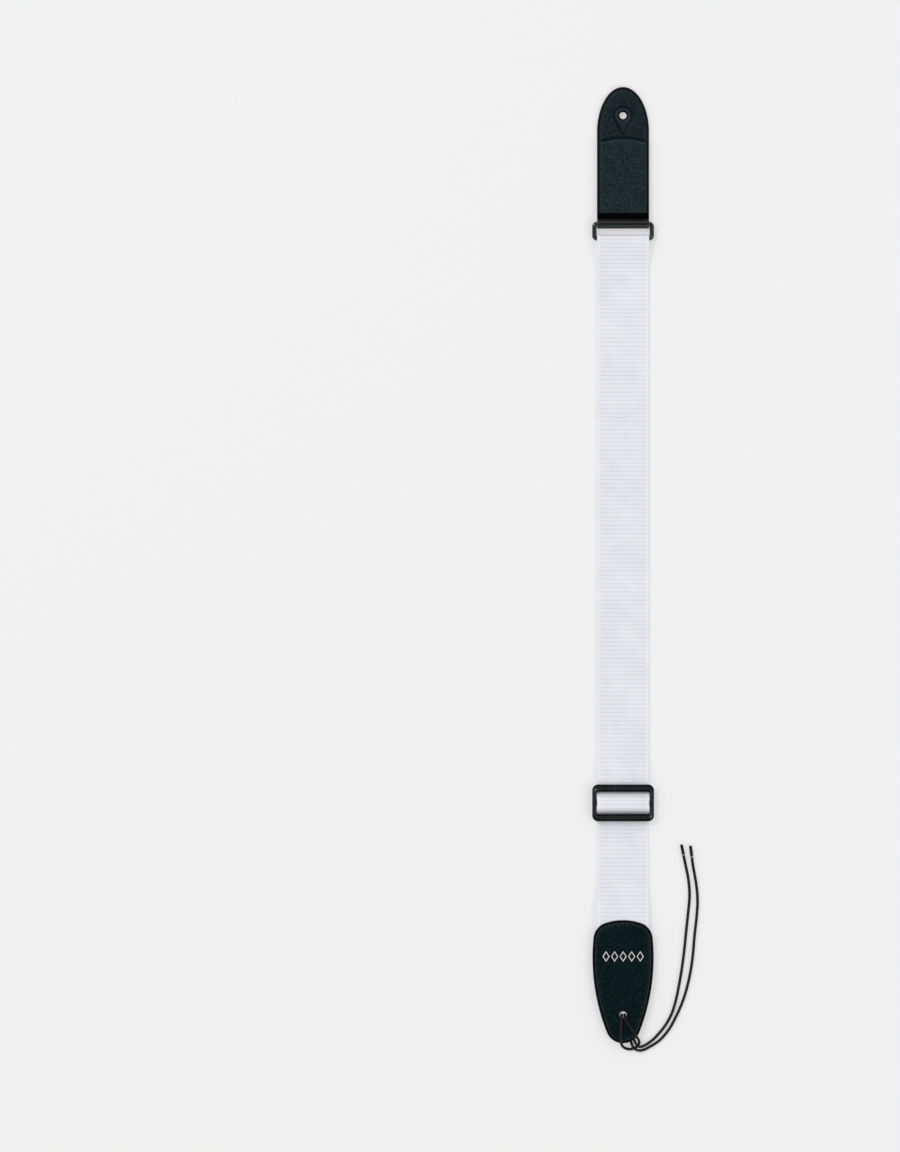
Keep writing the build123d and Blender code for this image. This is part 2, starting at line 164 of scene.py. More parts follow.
webLow, webHigh = spanOf("webbing_back_run")
foldLow, foldHigh = spanOf("webbing_ring_fold")
sliderLow, sliderHigh = spanOf("slider_frame")
ringLow, ringHigh = spanOf("ring")
tailLow, tailHigh = spanOf("webbing_tail")
lowerLow, lowerHigh = spanOf("webbing_lower")
waveLow, waveHigh = spanOf("webbing_over_bar")
topLow, topHigh = spanOf("top_tab_front")
liningLow, liningHigh = spanOf("top_tab_lining")
coverLow, coverHigh = spanOf("bottom_tab_front")
backLow, backHigh = spanOf("bottom_tab_back")
rollLow, rollHigh = spanOf("ring_loop_leather")
padLow, padHigh = spanOf("top_tab_pad")
thickness = webHigh[2] - webLow[2]
webWidth = webHigh[0] - webLow[0]
plyGap = 0.05 * mm
runningGap = 0.3 * mm
ply = thickness + plyGap
lowLevel = thickness / 2
highLevel = lowLevel + ply
ringY = (ringLow[1] + ringHigh[1]) / 2
ringZ = (ringLow[2] + ringHigh[2]) / 2
wire = ringHigh[2] - ringLow[2]
barSpacing = ringHigh[1] - ringLow[1] - wire
lowerBarY = ringY - barSpacing / 2
upperBarY = ringY + barSpacing / 2
sliderY = (sliderLow[1] + sliderHigh[1]) / 2
laceHoleY = coverLow[1] + 27.3 * mm
buttonholeY = topHigh[1] - 27.6 * mm


# Nodes and materials


def addNode(tree, kind, inputs=None, **settings):
    node = tree.nodes.new(kind)
    for name, value in settings.items():
        setattr(node, name, value)
    for name, value in (inputs or {}).items():
        if isinstance(value, bpy.types.NodeSocket):
            tree.links.new(value, node.inputs[name])
        else:
            node.inputs[name].default_value = value
    return node


def calc(tree, operation, a, b=0.0, c=0.0):
    return addNode(tree, "ShaderNodeMath", {0: a, 1: b, 2: c}, operation=operation).outputs[0]


def sumsFor(tree):
    # a * b, a + b and a * b + c as nodes in this tree
    return [partial(calc, tree, operation) for operation in ("MULTIPLY", "ADD", "MULTIPLY_ADD")]


def newMaterial(name, color, roughness, **shading):
    material = bpy.data.materials.new(name)
    material.use_nodes = True
    shader = material.node_tree.nodes["Principled BSDF"]
    shader.inputs["Base Color"].default_value = (*color, 1)
    shader.inputs["Roughness"].default_value = roughness
    for socket, value in shading.items():
        shader.inputs[socket.replace("_", " ")].default_value = value
    material.diffuse_color = (*color, 1)
    return material, material.node_tree, shader


def objectSpot(tree):
    return addNode(tree, "ShaderNodeTexCoord").outputs["Object"]


def attributeOf(tree, name, output="Fac"):
    return addNode(tree, "ShaderNodeAttribute", attribute_name=name, attribute_type="GEOMETRY").outputs[output]


def noiseOf(tree, spot, scale, detail, roughness=0.5):
    inputs = {"Vector": spot, "Scale": scale, "Detail": detail, "Roughness": roughness}
    return addNode(tree, "ShaderNodeTexNoise", inputs).outputs["Fac"]


def rampBetween(tree, factor, low, high, start=0.0, end=1.0):
    inputs = {"Value": factor, "From Min": start, "From Max": end, "To Min": low, "To Max": high}
    return addNode(tree, "ShaderNodeMapRange", inputs).outputs["Result"]


def mixColor(tree, factor, a, b):
    node = addNode(tree, "ShaderNodeMix", data_type="RGBA")
    for index, value in ((0, factor), (6, a), (7, b)):
        if isinstance(value, bpy.types.NodeSocket):
            tree.links.new(value, node.inputs[index])
        else:
            node.inputs[index].default_value = value if index == 0 else (*value, 1)
    return node.outputs[2]


def scaled(color, share):
    return [c * share for c in color]


def addBump(tree, shader, height, strength, distance):
    bump = addNode(tree, "ShaderNodeBump", {"Strength": strength, "Distance": distance, "Height": height})
    tree.links.new(bump.outputs[0], shader.inputs["Normal"])


weave = {
    "color": (0.82, 0.835, 0.87),
    "shade": (0.62, 0.65, 0.70),
    "ribPitch": 4.0 * mm,
    "columnPitch": 3.6 * mm,
    "yarnPitch": 0.8 * mm,
    "selvedge": 2.7 * mm,
    "selvedgeFade": 0.6 * mm,
}


def furrow(tree, place, pitch, narrow):
    # 1 in the middle of each furrow between two ribs and 0 on top of them
    wave = calc(tree, "COSINE", calc(tree, "DIVIDE", calc(tree, "MULTIPLY", place, fullTurn), pitch))
    return calc(tree, "POWER", calc(tree, "MULTIPLY_ADD", wave, -0.5, 0.5), narrow)


def webbingMaterial(name, bent):
    material, tree, shader = newMaterial(name, weave["color"], 0.62, Sheen_Weight=0.25, Sheen_Roughness=0.4)
    times, plus, timesPlus = sumsFor(tree)
    spot = attributeOf(tree, "weave", "Vector") if bent else objectSpot(tree)
    x, y = addNode(tree, "ShaderNodeSeparateXYZ", {0: spot}).outputs[:2]
    rib = furrow(tree, y, weave["ribPitch"], 2.2)
    column = furrow(tree, x, weave["columnPitch"], 2.2)
    yarns = [calc(tree, "SINE", times(place, fullTurn / weave["yarnPitch"])) for place in (x, y)]
    basket = times(*yarns)
    border = webWidth / 2 - weave["selvedge"]
    inner = rampBetween(tree, calc(tree, "ABSOLUTE", x), 1.0, 0.0, border - weave["selvedgeFade"], border)
    beats = noiseOf(tree, spot, 75.0, 1.0)  # no two beats of the loom are quite alike
    # the furrows between ribs and columns painted darker, as shade in them; the patches vary the tone at random
    lines = times(calc(tree, "MAXIMUM", times(column, 0.5), rib), inner)
    lines = times(lines, rampBetween(tree, beats, 0.65, 1.05, 0.35, 0.65))
    fuzz = noiseOf(tree, spot, 2600.0, 2.0, 0.6)
    patches = noiseOf(tree, spot, 30.0, 3.0)
    tint = timesPlus(basket, -0.06, times(lines, 0.62))
    tint = plus(tint, rampBetween(tree, patches, 0.20, -0.04, 0.35, 0.65))
    tree.links.new(mixColor(tree, tint, weave["color"], weave["shade"]), shader.inputs["Base Color"])
    height = timesPlus(fuzz, 0.5, timesPlus(basket, 0.35, 1.0))
    addBump(tree, shader, calc(tree, "SUBTRACT", height, lines), 0.5, 0.25 * mm)
    return material


def leatherMaterial(name, color, mottleAndGlint, roughness, grain=1.0, depth=0.16 * mm, gloss=0.2):
    # the attribute "rim" blackens the leather as painted shade in seams, grooves and over the rim, and presses it
    # smooth; the other attribute lightens it as painted highlight on crests and edges, with some edge wear
    material, tree, shader = newMaterial(name, color, roughness, Specular_IOR_Level=gloss)
    times, plus, timesPlus = sumsFor(tree)
    spot = objectSpot(tree)
    pebble = addNode(tree, "ShaderNodeTexVoronoi", {"Vector": spot, "Scale": 820.0 / grain}, feature="DISTANCE_TO_EDGE")
    crease = rampBetween(tree, pebble.outputs["Distance"], 1.0, 0.0, 0.0, 0.16)
    pores = noiseOf(tree, spot, 3200.0, 3.0)
    mottle = noiseOf(tree, spot, 420.0 / grain, 3.0, 0.7)
    folds = noiseOf(tree, spot, 70.0, 4.0, 0.6)
    rim, wearAndGlint = attributeOf(tree, "rim"), attributeOf(tree, "wearAndGlint")
    tone = plus(rampBetween(tree, folds, 0.0, 0.45, 0.35, 0.7), rampBetween(tree, mottle, -0.9, 1.3, 0.3, 0.7))
    surface = mixColor(tree, tone, color, mottleAndGlint)
    # the grain's creases painted darker, as shade in them; then painted shade in the seams and over the rim, and
    # painted highlight, with some edge wear, on crests and edges
    surface = mixColor(tree, times(crease, 0.55), surface, scaled(color, 0.4))
    surface = mixColor(tree, rim, surface, scaled(color, 0.06))
    surface = mixColor(tree, times(wearAndGlint, 0.8), surface, scaled(mottleAndGlint, 1.5))
    tree.links.new(surface, shader.inputs["Base Color"])
    rough = rampBetween(tree, mottle, roughness - 0.06, roughness + 0.12, 0.35, 0.65)
    tree.links.new(rough, shader.inputs["Roughness"])
    height = timesPlus(mottle, 1.0, timesPlus(pores, 0.25, times(crease, -1.0)))
    addBump(tree, shader, times(height, rampBetween(tree, rim, 1.0, 0.15)), 0.45, depth)
    return material


def threadMaterial(name, color, roughness):
    material, tree, shader = newMaterial(name, color, roughness, Sheen_Weight=0.04, Specular_IOR_Level=0.25)
    inputs = {"Vector": objectSpot(tree), "Scale": 700.0, "Distortion": 1.5}
    twist = addNode(tree, "ShaderNodeTexWave", inputs, bands_direction="DIAGONAL").outputs["Fac"]
    # darker between the twisted plies: painted shade
    tree.links.new(mixColor(tree, twist, scaled(color, 0.6), color), shader.inputs["Base Color"])
    addBump(tree, shader, twist, 0.5, 0.1 * mm)
    return material


def hardMaterial(name, color, roughness, grainScale, grainDepth, coat=0.0, gloss=0.3, band=None):
    # band is a colour for where the attribute "band" is 1
    shading = {"Coat_Weight": coat, "Coat_Roughness": 0.06, "Specular_IOR_Level": gloss}
    material, tree, shader = newMaterial(name, color, roughness, **shading)
    spot = objectSpot(tree)
    grain = noiseOf(tree, spot, grainScale, 2.0)
    scuffs = noiseOf(tree, spot, 160.0, 5.0, 0.7)
    rough = rampBetween(tree, scuffs, roughness * 0.8, roughness * 1.35, 0.4, 0.65)
    tree.links.new(rough, shader.inputs["Roughness"])
    lighter = [min(1.0, c * 2.2 + 0.004) for c in color]
    surface = mixColor(tree, rampBetween(tree, scuffs, 0.0, 1.0, 0.55, 0.75), color, lighter)
    if band:
        surface = mixColor(tree, attributeOf(tree, "band"), surface, band)
    tree.links.new(surface, shader.inputs["Base Color"])
    addBump(tree, shader, grain, 0.25, grainDepth)
    return material


flatWeave = webbingMaterial("webbingWeave", False)
bentWeave = webbingMaterial("webbingWeaveBent", True)
coverLeather = leatherMaterial("coverLeather", (0.0060, 0.0150, 0.0175), (0.0165, 0.0325, 0.0370), 0.34, gloss=0.08)
# smoother grain than the cover, and a darker base colour which is painted shade for the flatter lower tab
smoothLeather = leatherMaterial(
    "smoothLeather", (0.0008, 0.0070, 0.0075), (0.0055, 0.0165, 0.0175), 0.32, 0.7, 0.07 * mm, 0.06
)
# near-black leather for the trough behind the roll: painted shade
shadedTroughLeather = leatherMaterial(
    "shadedTroughLeather", (0.0003, 0.0012, 0.0014), (0.0008, 0.0024, 0.0028), 0.30, 0.8, 0.03 * mm, 0.06
)
rollLeather = leatherMaterial(
    "rollLeather", (0.0006, 0.0035, 0.0040), (0.0030, 0.0080, 0.0090), 0.20, 0.8, 0.04 * mm, 0.5
)
liningLeather = leatherMaterial("liningLeather", (0.012, 0.013, 0.014), (0.024, 0.026, 0.028), 0.72, 0.6)
boardMaterial = leatherMaterial("bondedBoard", (0.10, 0.065, 0.04), (0.16, 0.11, 0.07), 0.8)
foamMaterial = leatherMaterial("foam", (0.04, 0.04, 0.045), (0.06, 0.06, 0.065), 0.9, 1.6)
# the black thread painted lighter, as glint on the stitches of the edge, base and lower tab rows; and painted darker,
# as shade, for the rows sunk deep in the cross seam and round the buttonhole
blackThreadPaintedGlint = threadMaterial("blackThreadPaintedGlint", (0.065, 0.076, 0.080), 0.42)
blackThreadPaintedShade = threadMaterial("blackThreadPaintedShade", (0.003, 0.005, 0.0055), 0.5)
whiteThread = threadMaterial("whiteThread", (0.78, 0.79, 0.82), 0.5)
ringEnamel = hardMaterial("ringEnamel", (0.0015, 0.0025, 0.003), 0.12, 900.0, 0.01 * mm, coat=0.5, gloss=0.5)
sliderPlastic = hardMaterial("sliderPlastic", (0.0008, 0.0022, 0.0026), 0.22, 2400.0, 0.03 * mm, gloss=0.4)
laceCotton = threadMaterial("waxedLace", (0.0010, 0.0013, 0.0015), 0.42)
laceTipPlastic = hardMaterial(
    "laceTipSleeve", (0.003, 0.003, 0.0035), 0.25, 1500.0, 0.02 * mm, band=(0.42, 0.43, 0.44)
)
markInk = hardMaterial("markInk", (0.62, 0.56, 0.56), 0.5, 2000.0, 0.02 * mm)
print("materials ready")


# Meshes


def dress(piece, body=None, nodes=()):
    # hides the CAD nodes that the piece stands for, and attaches it to the body that it moves with
    if nodes:
        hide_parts(*nodes)
    if body:
        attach(piece, body)
    return piece


def finishPiece(name, verts, faces, material, body=None, nodes=(), smooth=True):
    mesh = bpy.data.meshes.new(name)
    mesh.from_pydata([tuple(map(float, v)) for v in verts], [], [tuple(map(int, f)) for f in faces])
    mesh.validate()
    mesh.materials.append(material)
    if smooth:
        mesh.polygons.foreach_set("use_smooth", [True] * len(mesh.polygons))
    return dress(addObject(name, mesh), body, nodes)


def addAttribute(piece, name, values):
    values = np.asarray(values, np.float32)
    kind = "FLOAT_VECTOR" if values.ndim == 2 else "FLOAT"
    attribute = piece.data.attributes.new(name, kind, "POINT")
    attribute.data.foreach_set("vector" if values.ndim == 2 else "value", values.ravel())


def mendMesh(piece, weld=0.0, sliver=0.0):
    # welds points closer than weld, drops slivers and turns every face outwards
    shape = bmesh.new()
    shape.from_mesh(piece.data)
    if weld:
        bmesh.ops.remove_doubles(shape, verts=shape.verts, dist=weld)
    if sliver:
        bmesh.ops.dissolve_degenerate(shape, edges=shape.edges, dist=sliver)
    bmesh.ops.recalc_face_normals(shape, faces=shape.faces)
    shape.to_mesh(piece.data)
    shape.free()


def evaluatedMesh(piece):
    bpy.context.view_layer.update()
    return bpy.data.meshes.new_from_object(piece.evaluated_get(bpy.context.evaluated_depsgraph_get()))


def applyModifiers(piece):
    mesh = evaluatedMesh(piece)
    piece.modifiers.clear()
    piece.data = mesh
    mesh.name = piece.name
    return mesh


def smoothStep(low, high, value):
    share = np.clip((value - low) / (high - low), 0, 1)
    return share * share * (3 - 2 * share)


def hollow(offset, width):
    return np.exp(-((offset / width) ** 2))


def roundedEdge(distance, lip):
    # how far an edge rounded by lip lies below the level beside it
    return lip - np.sqrt(lip**2 - np.clip(lip - distance, 0, lip) ** 2)


def unit(vectors):
    return vectors / np.linalg.norm(vectors, axis=-1, keepdims=True)


def distanceAlong(line):
    return np.concatenate([[0], np.cumsum(np.linalg.norm(np.diff(line, axis=0), axis=1))])


def skinFaces(rows, columns, closed=False, start=0):
    # quads between neighbouring rows of points, each row a closed loop
    faces = []
    for i in range(rows if closed else rows - 1):
        here, after = start + i * columns, start + (i + 1) % rows * columns
        for j in range(columns):
            k = (j + 1) % columns
            faces.append((here + j, here + k, after + k, after + j))
    return faces


def capFaces(rows, columns, start=0):
    last = start + (rows - 1) * columns
    return [tuple(range(start + columns - 1, start - 1, -1)), tuple(range(last, last + columns))]


def bentLine(points, radii, step):
    # the (y, z) points of a strip's middle line, with each corner rounded and then divided evenly
    pts = [np.array(p, float) for p in points]
    line = [pts[0]]
    for i, radius in enumerate(radii, start=1):
        a, b, c = pts[i - 1 : i + 2]
        u, v = unit(b - a), unit(c - b)
        turn = math.atan2(u[0] * v[1] - u[1] * v[0], float(u @ v))
        start = b - u * radius * math.tan(abs(turn) / 2)
        centre = start + np.array([-u[1], u[0]]) * math.copysign(radius, turn)
        count = max(2, int(abs(turn) * radius / step) + 1, int(abs(turn) / 0.12))
        ax, ay = start - centre
        for angle in np.linspace(0, turn, count + 1):
            cos, sin = math.cos(angle), math.sin(angle)
            line.append(centre + np.array([ax * cos - ay * sin, ax * sin + ay * cos]))
    line.append(pts[-1])
    dense = [line[0]]
    for a, b in zip(line, line[1:]):
        gap = np.linalg.norm(b - a)
        if gap < 1e-7:
            continue
        pieces = max(1, int(gap / step))
        dense += [a + (b - a) * (k + 1) / pieces for k in range(pieces)]
    return np.array(dense)


def stripSection(width, depth, edge, columns):
    # across, up and 1 on the flat sides: over the top, round an edge, and the same turned over
    flat = np.linspace(-width / 2 + edge, width / 2 - edge, columns + 1)
    section = [(x, depth / 2, 1) for x in flat]
    for angle in np.arange(1, 6) * math.pi / 6:
        section.append((width / 2 - edge + edge * math.sin(angle), depth / 2 * math.cos(angle), 0))
    return np.array(section + [(-x, -up, side) for x, up, side in section])


def weaveScale(first, last, length):
    # stretches the weave a little, so that its ribs meet those of the next piece at both ends
    pitch = weave["ribPitch"]
    target = last if last > first + pitch else -last
    turns = round((first + length - target) / pitch)
    return (target + turns * pitch - first) / length


def buildStrip(name, points, radii, width, depth, material, step=0.75 * mm, columns=56, edge=None):
    # a long strip, swept along a (y, z) line, with rounded edges
    line = bentLine(points, radii, step)
    section = stripSection(width, depth, depth / 2 if edge is None else edge, columns)
    across, up, flat = section.T
    ahead = unit(np.gradient(line, axis=0))
    side = np.stack([-ahead[:, 1], ahead[:, 0]], axis=1)
    along = distanceAlong(line)
    length = float(along[-1])
    n, m = len(line), len(section)
    verts, spots, out = np.zeros((3, n, m, 3))
    verts[:, :, 0] = spots[:, :, 0] = across
    verts[:, :, 1:] = line[:, None] + side[:, None] * up[:, None]
    spots[:, :, 1] = line[0][0] + along[:, None] * weaveScale(line[0][0], line[-1][0], length)
    out[:, :, 1:] = side[:, None] * (flat * np.sign(up))[:, None]
    # the section runs the other way round than a tube's, and so do the caps
    faces = skinFaces(n, m) + [cap[::-1] for cap in capFaces(n, m)]
    piece = finishPiece(name, verts.reshape(-1, 3), faces, material)
    mendMesh(piece)
    addAttribute(piece, "weave", spots.reshape(-1, 3))  # across and along, for the ribs and the weave
    addAttribute(piece, "out", out.reshape(-1, 3))  # the way out of the flat sides
    piece.data.set_sharp_from_angle(angle=math.radians(40))
    return piece, length


# Ribs raised across the webbing

ribs = {"height": 0.13 * mm, "columnShare": 0.4, "narrow": 1.6, "slope": 1200.0}


def startTree(name, sizes):
    # a node group with a geometry, a material and an input for each size
    tree = bpy.data.node_groups.new(name, "GeometryNodeTree")
    face = tree.interface
    face.new_socket("Geometry", in_out="INPUT", socket_type="NodeSocketGeometry")
    for label, value in sizes.items():
        face.new_socket(label, in_out="INPUT", socket_type="NodeSocketFloat").default_value = value
    face.new_socket("Material", in_out="INPUT", socket_type="NodeSocketMaterial")
    face.new_socket("Geometry", in_out="OUTPUT", socket_type="NodeSocketGeometry")
    return tree, tree.nodes.new("NodeGroupInput").outputs


def endTree(tree, geometry, material):
    whole = addNode(tree, "GeometryNodeRealizeInstances", {"Geometry": geometry}).outputs[0]
    painted = addNode(tree, "GeometryNodeSetMaterial", {"Geometry": whole, "Material": material}).outputs[0]
    tree.links.new(painted, tree.nodes.new("NodeGroupOutput").inputs[0])
    return tree


def ribTree():
    sizes = {"Pitch": weave["ribPitch"], "Column pitch": weave["columnPitch"], "Column share": ribs["columnShare"],
             "Height": ribs["height"], "Half width": webWidth / 2, "Selvedge": weave["selvedge"]}
    tree, entry = startTree("raisedRibs", sizes)
    times = partial(calc, tree, "MULTIPLY")
    spot, out = [
        addNode(tree, "GeometryNodeInputNamedAttribute", {"Name": name}, data_type="FLOAT_VECTOR").outputs[0]
        for name in ("weave", "out")
    ]
    x, y = addNode(tree, "ShaderNodeSeparateXYZ", {0: spot}).outputs[:2]
    columns = furrow(tree, x, entry["Column pitch"], ribs["narrow"])
    rows = furrow(tree, y, entry["Pitch"], ribs["narrow"])
    dip = calc(tree, "MAXIMUM", times(columns, entry["Column share"]), rows)
    border = calc(tree, "SUBTRACT", entry["Half width"], entry["Selvedge"])
    inset = calc(tree, "SUBTRACT", border, calc(tree, "ABSOLUTE", x))
    inside = calc(tree, "MINIMUM", calc(tree, "MAXIMUM", times(inset, ribs["slope"]), 0.0), 1.0)
    lift = times(times(dip, inside), times(entry["Height"], -1.0))
    offset = addNode(tree, "ShaderNodeVectorMath", {0: out, "Scale": lift}, operation="SCALE").outputs[0]
    moved = addNode(tree, "GeometryNodeSetPosition", {"Geometry": entry["Geometry"], "Offset": offset})
    return endTree(tree, moved.outputs[0], entry["Material"])


def applyTree(piece, tree, **values):
    modifier = piece.modifiers.new(tree.name, "NODES")
    modifier.node_group = tree
    sockets = {item.name: item.identifier for item in tree.interface.items_tree if item.in_out == "INPUT"}
    for name, value in values.items():
        modifier[sockets[name]] = value
    applyModifiers(piece)


ribbed = ribTree()


def webbingPiece(name, points, radii, nodes, bent):
    material = bentWeave if bent else flatWeave
    piece, length = buildStrip(name, points, radii, webWidth, thickness, material)
    applyTree(piece, ribbed, Material=material)
    dress(piece, None, nodes)
    print(f"{name}: {length / mm:.1f} mm of webbing")
    return piece


# Webbing: one length, from the lower tab through the slider, round the ring and back

slider = {"outerBar": 7.3 * mm, "centreBar": 5.0 * mm, "leg": 4.3 * mm, "corner": 5.5 * mm, "flap": 30.0 * mm}
halfSlider = (sliderHigh[1] - sliderLow[1]) / 2
barWrap = slider["centreBar"] / 2 + runningGap + thickness / 2  # from the middle bar's axis to the webbing's middle
overBar = sliderHigh[2] + runningGap + thickness / 2


def lowerRun():
    level = (tailLow[2] + tailHigh[2]) / 2
    border = lowerLow[1]
    points = [(tailLow[1], level), (border + 6 * mm, level), (border + 30 * mm, lowLevel), (lowerHigh[1], lowLevel)]
    nodes = ["webbing_lower", "webbing_tail"]
    return webbingPiece("webbing_lower_run", points, [40 * mm, 45 * mm], nodes, False)


def waveRun():
    crest = overBar + ply
    third = highLevel + ply
    points = [
        (waveLow[1], lowLevel),
        (sliderY - halfSlider - 4 * mm, lowLevel),
        (sliderY - halfSlider + slider["outerBar"] + 0.6 * mm, sliderLow[2] - runningGap - thickness * 0.9),
        (sliderY - barWrap - 1.8 * mm, crest),
        (sliderY + barWrap + 0.7 * mm, crest),
        (sliderY + halfSlider - slider["outerBar"] - 0.75 * mm, third),
        (sliderY + slider["flap"] + 1 * mm, third),
        (sliderY + slider["flap"] + 9 * mm, highLevel),
        (waveHigh[1], highLevel),
    ]
    radii = scaled((15, 2, 3, 2.6, 2.2, 12, 12), mm)
    return webbingPiece("webbing_over_bar_wave", points, radii, ["webbing_over_bar"], True)


def sewnEnd():
    under = sliderLow[2] - runningGap - thickness / 2
    points = [
        (waveHigh[1], lowLevel),
        (sliderY + 6 * mm, lowLevel),
        (sliderY - 1 * mm, under),
        (sliderY - barWrap, under + 0.6 * mm),
        (sliderY - barWrap, overBar),
        (sliderY + barWrap, overBar),
        (sliderY + halfSlider - slider["outerBar"] - 1.45 * mm, highLevel),
        (sliderY + slider["flap"], highLevel),
    ]
    radii = scaled((6, 2.5, 1.2, 1.6, 1.6, 2), mm)
    return webbingPiece("webbing_end_round_bar", points, radii, ["webbing_sewn_end"], True)


def ringFold():
    radius = wire / 2 + runningGap + thickness / 2
    bend = radius - plyGap
    points = [
        (foldLow[1], lowLevel),
        (lowerBarY - 24 * mm, lowLevel),
        (lowerBarY - 7 * mm, ringZ - radius),
        (lowerBarY + radius, ringZ - radius),
        (lowerBarY + radius, ringZ + radius),
        (lowerBarY - 5 * mm, ringZ + radius),
        (lowerBarY - 25 * mm, highLevel),
        (foldLow[1], highLevel),
    ]
    radii = [30 * mm, 20 * mm, bend, bend, 8 * mm, 20 * mm]
    return webbingPiece("webbing_fold", points, radii, ["webbing_ring_fold"], True)


def longRun(name, node, level):
    low, high = spanOf(node)
    return webbingPiece(name, [(low[1], level), (high[1], level)], [], [node], False)


lower = lowerRun()
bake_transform(lower)
for bentPiece in (waveRun(), sewnEnd()):
    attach(bentPiece, "slider")
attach(ringFold(), "upper_webbing")
for runName, runNode, runLevel in (
    ("webbing_front", "webbing_front_run", highLevel),
    ("webbing_back", "webbing_back_run", lowLevel),
):
    run = longRun(runName, runNode, runLevel)
    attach(run, "upper_webbing")
    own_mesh(run)
print("webbing ready")


# Lace: the route's points, measured from the middle of the lower tab's hole, in millimetres

lace = {"diameter": 2.8 * mm, "rest": 0.05 * mm, "gap": 0.1 * mm, "bend": 2.2}
laceLow = (lace["diameter"] / 2 + lace["rest"]) / mm
laceHigh = (coverHigh[2] + lace["gap"] + lace["diameter"] / 2) / mm
bightRoute = [
    (-1.8, -7.6, laceHigh), (-2.2, -13.5, laceHigh), (-2.3, -20.5, laceHigh), (-1.9, -28.2, laceHigh + 0.3),
    (0.4, -31.3, laceHigh - 4.0), (3.6, -33.0, laceLow + 0.9), (7.4, -33.4, laceLow), (11.0, -32.5, laceLow),
    (13.8, -30.4, laceLow + 0.1), (15.6, -27.8, laceLow + 1.3), (15.4, -24.7, laceLow + 4.9),
    (13.6, -22.0, laceHigh + 0.3), (10.2, -17.0, laceHigh), (7.0, -11.8, laceHigh), (4.2, -7.6, laceHigh),
]
innerRoute = [
    (4.2, -7.6, laceHigh), (2.6, -5.2, laceHigh), (1.7, -2.2, laceHigh), (1.5, 0.0, laceHigh - lace["bend"]),
    (1.5, 0.0, laceLow + lace["bend"]), (1.6, -2.3, laceLow), (2.2, -6.6, laceLow), (4.6, -13.2, laceLow),
    (8.2, -19.4, laceLow), (11.0, -24.8, laceLow + 0.1), (12.6, -28.9, laceLow + 3.2),
    (15.9, -31.2, laceLow + 3.3), (19.8, -30.2, laceLow + 1.8), (24.0, -27.7, laceLow + 0.5),
    (28.6, -24.5, laceLow), (34.1, -18.8, laceLow), (39.4, -12.4, laceLow), (43.6, -5.8, laceLow),
    (47.6, 2.2, laceLow), (51.2, 14.7, laceLow), (54.0, 28.7, laceLow), (56.7, 44.7, laceLow),
    (59.0, 62.2, laceLow), (60.7, 80.2, laceLow), (62.6, 97.7, laceLow), (64.4, 114.7, laceLow),
    (62.9, 131.2, laceLow), (59.6, 146.2, laceLow), (58.2, 153.2, laceLow),
]
outerRoute = [
    (-1.8, -7.6, laceHigh), (-1.62, -5.0, laceHigh), (-1.6, -2.2, laceHigh), (-1.5, 0.0, laceHigh - lace["bend"]),
    (-1.5, 0.0, laceLow + lace["bend"]), (-1.4, -2.3, laceLow), (-0.8, -6.6, laceLow), (1.6, -13.6, laceLow),
    (5.0, -20.2, laceLow), (8.0, -26.4, laceLow + 0.1), (9.2, -31.0, laceLow + 3.2), (12.6, -34.0, laceLow + 2.7),
    (17.2, -34.7, laceLow + 1.0), (22.2, -33.0, laceLow + 0.1), (26.9, -30.3, laceLow), (31.6, -27.6, laceLow),
    (36.6, -23.6, laceLow), (41.2, -18.4, laceLow), (45.6, -12.4, laceLow), (49.8, -4.4, laceLow),
    (54.2, 4.7, laceLow), (58.6, 15.7, laceLow), (62.2, 28.2, laceLow), (65.2, 42.2, laceLow),
    (67.4, 58.2, laceLow), (68.7, 76.2, laceLow), (70.9, 93.7, laceLow), (72.0, 110.2, laceLow),
    (70.4, 126.7, laceLow), (67.3, 142.2, laceLow), (66.2, 151.2, laceLow),
]
braid = {"sides": 20, "strands": 4, "turnLength": 9.0 * mm, "depth": 0.07, "step": 0.5 * mm}


def laceLine(route):
    # the smooth line that the lace follows, read from a spline with the route's points as its control points
    curve = bpy.data.curves.new("laceLine", "CURVE")
    curve.dimensions = "3D"
    spline = curve.splines.new("NURBS")
    spline.points.add(len(route) - 1)
    for point, (x, y, z) in zip(spline.points, route):
        point.co = (x * mm, laceHoleY + y * mm, z * mm, 1)
    spline.order_u = 3
    spline.use_endpoint_u = True
    spline.resolution_u = 16
    holder = addObject("laceLine", curve)
    line = [v.co.copy() for v in evaluatedMesh(holder).vertices]
    bpy.data.objects.remove(holder)
    return np.array([tuple(p) for k, p in enumerate(line) if k == 0 or (p - line[k - 1]).length > 1e-6])


def evenly(line, step):
    # the same line with its points a step apart
    along = distanceAlong(line)
    wanted = np.linspace(0, along[-1], max(2, int(along[-1] / step) + 1))
    return np.stack([np.interp(wanted, along, line[:, k]) for k in range(3)], axis=1), along[-1]


def tubeAlong(name, line, radiusAt, material, sides):
    # a closed tube round a line of points; radiusAt gives its radius at a distance and an angle
    ahead = unit(np.gradient(line, axis=0))
    side = unit(np.cross(ahead[0], (0.3, 0.2, 1.0)))
    verts = []
    for centre, way, along in zip(line, ahead, distanceAlong(line)):
        side = unit(side - way * (side @ way))
        up = np.cross(way, side)
        for j in range(sides):
            angle = fullTurn * j / sides
            verts.append(centre + (side * math.cos(angle) + up * math.sin(angle)) * radiusAt(along, angle))
    return finishPiece(name, verts, skinFaces(len(line), sides) + capFaces(len(line), sides), material)


def laceRadius(along, angle):
    # four plaited strands show as shallow bulges that wind both ways
    turn = fullTurn * along / braid["turnLength"]
    bulge = max(abs(math.sin(braid["strands"] / 2 * angle + way * turn)) for way in (1, -1))
    return lace["diameter"] / 2 * (1 - braid["depth"] + braid["depth"] * bulge)


def buildLace(name, route, node):
    line, length = evenly(laceLine(route), braid["step"])
    piece = tubeAlong(name, line, laceRadius, laceCotton, braid["sides"])
    dress(piece, "bottom_end", [node])


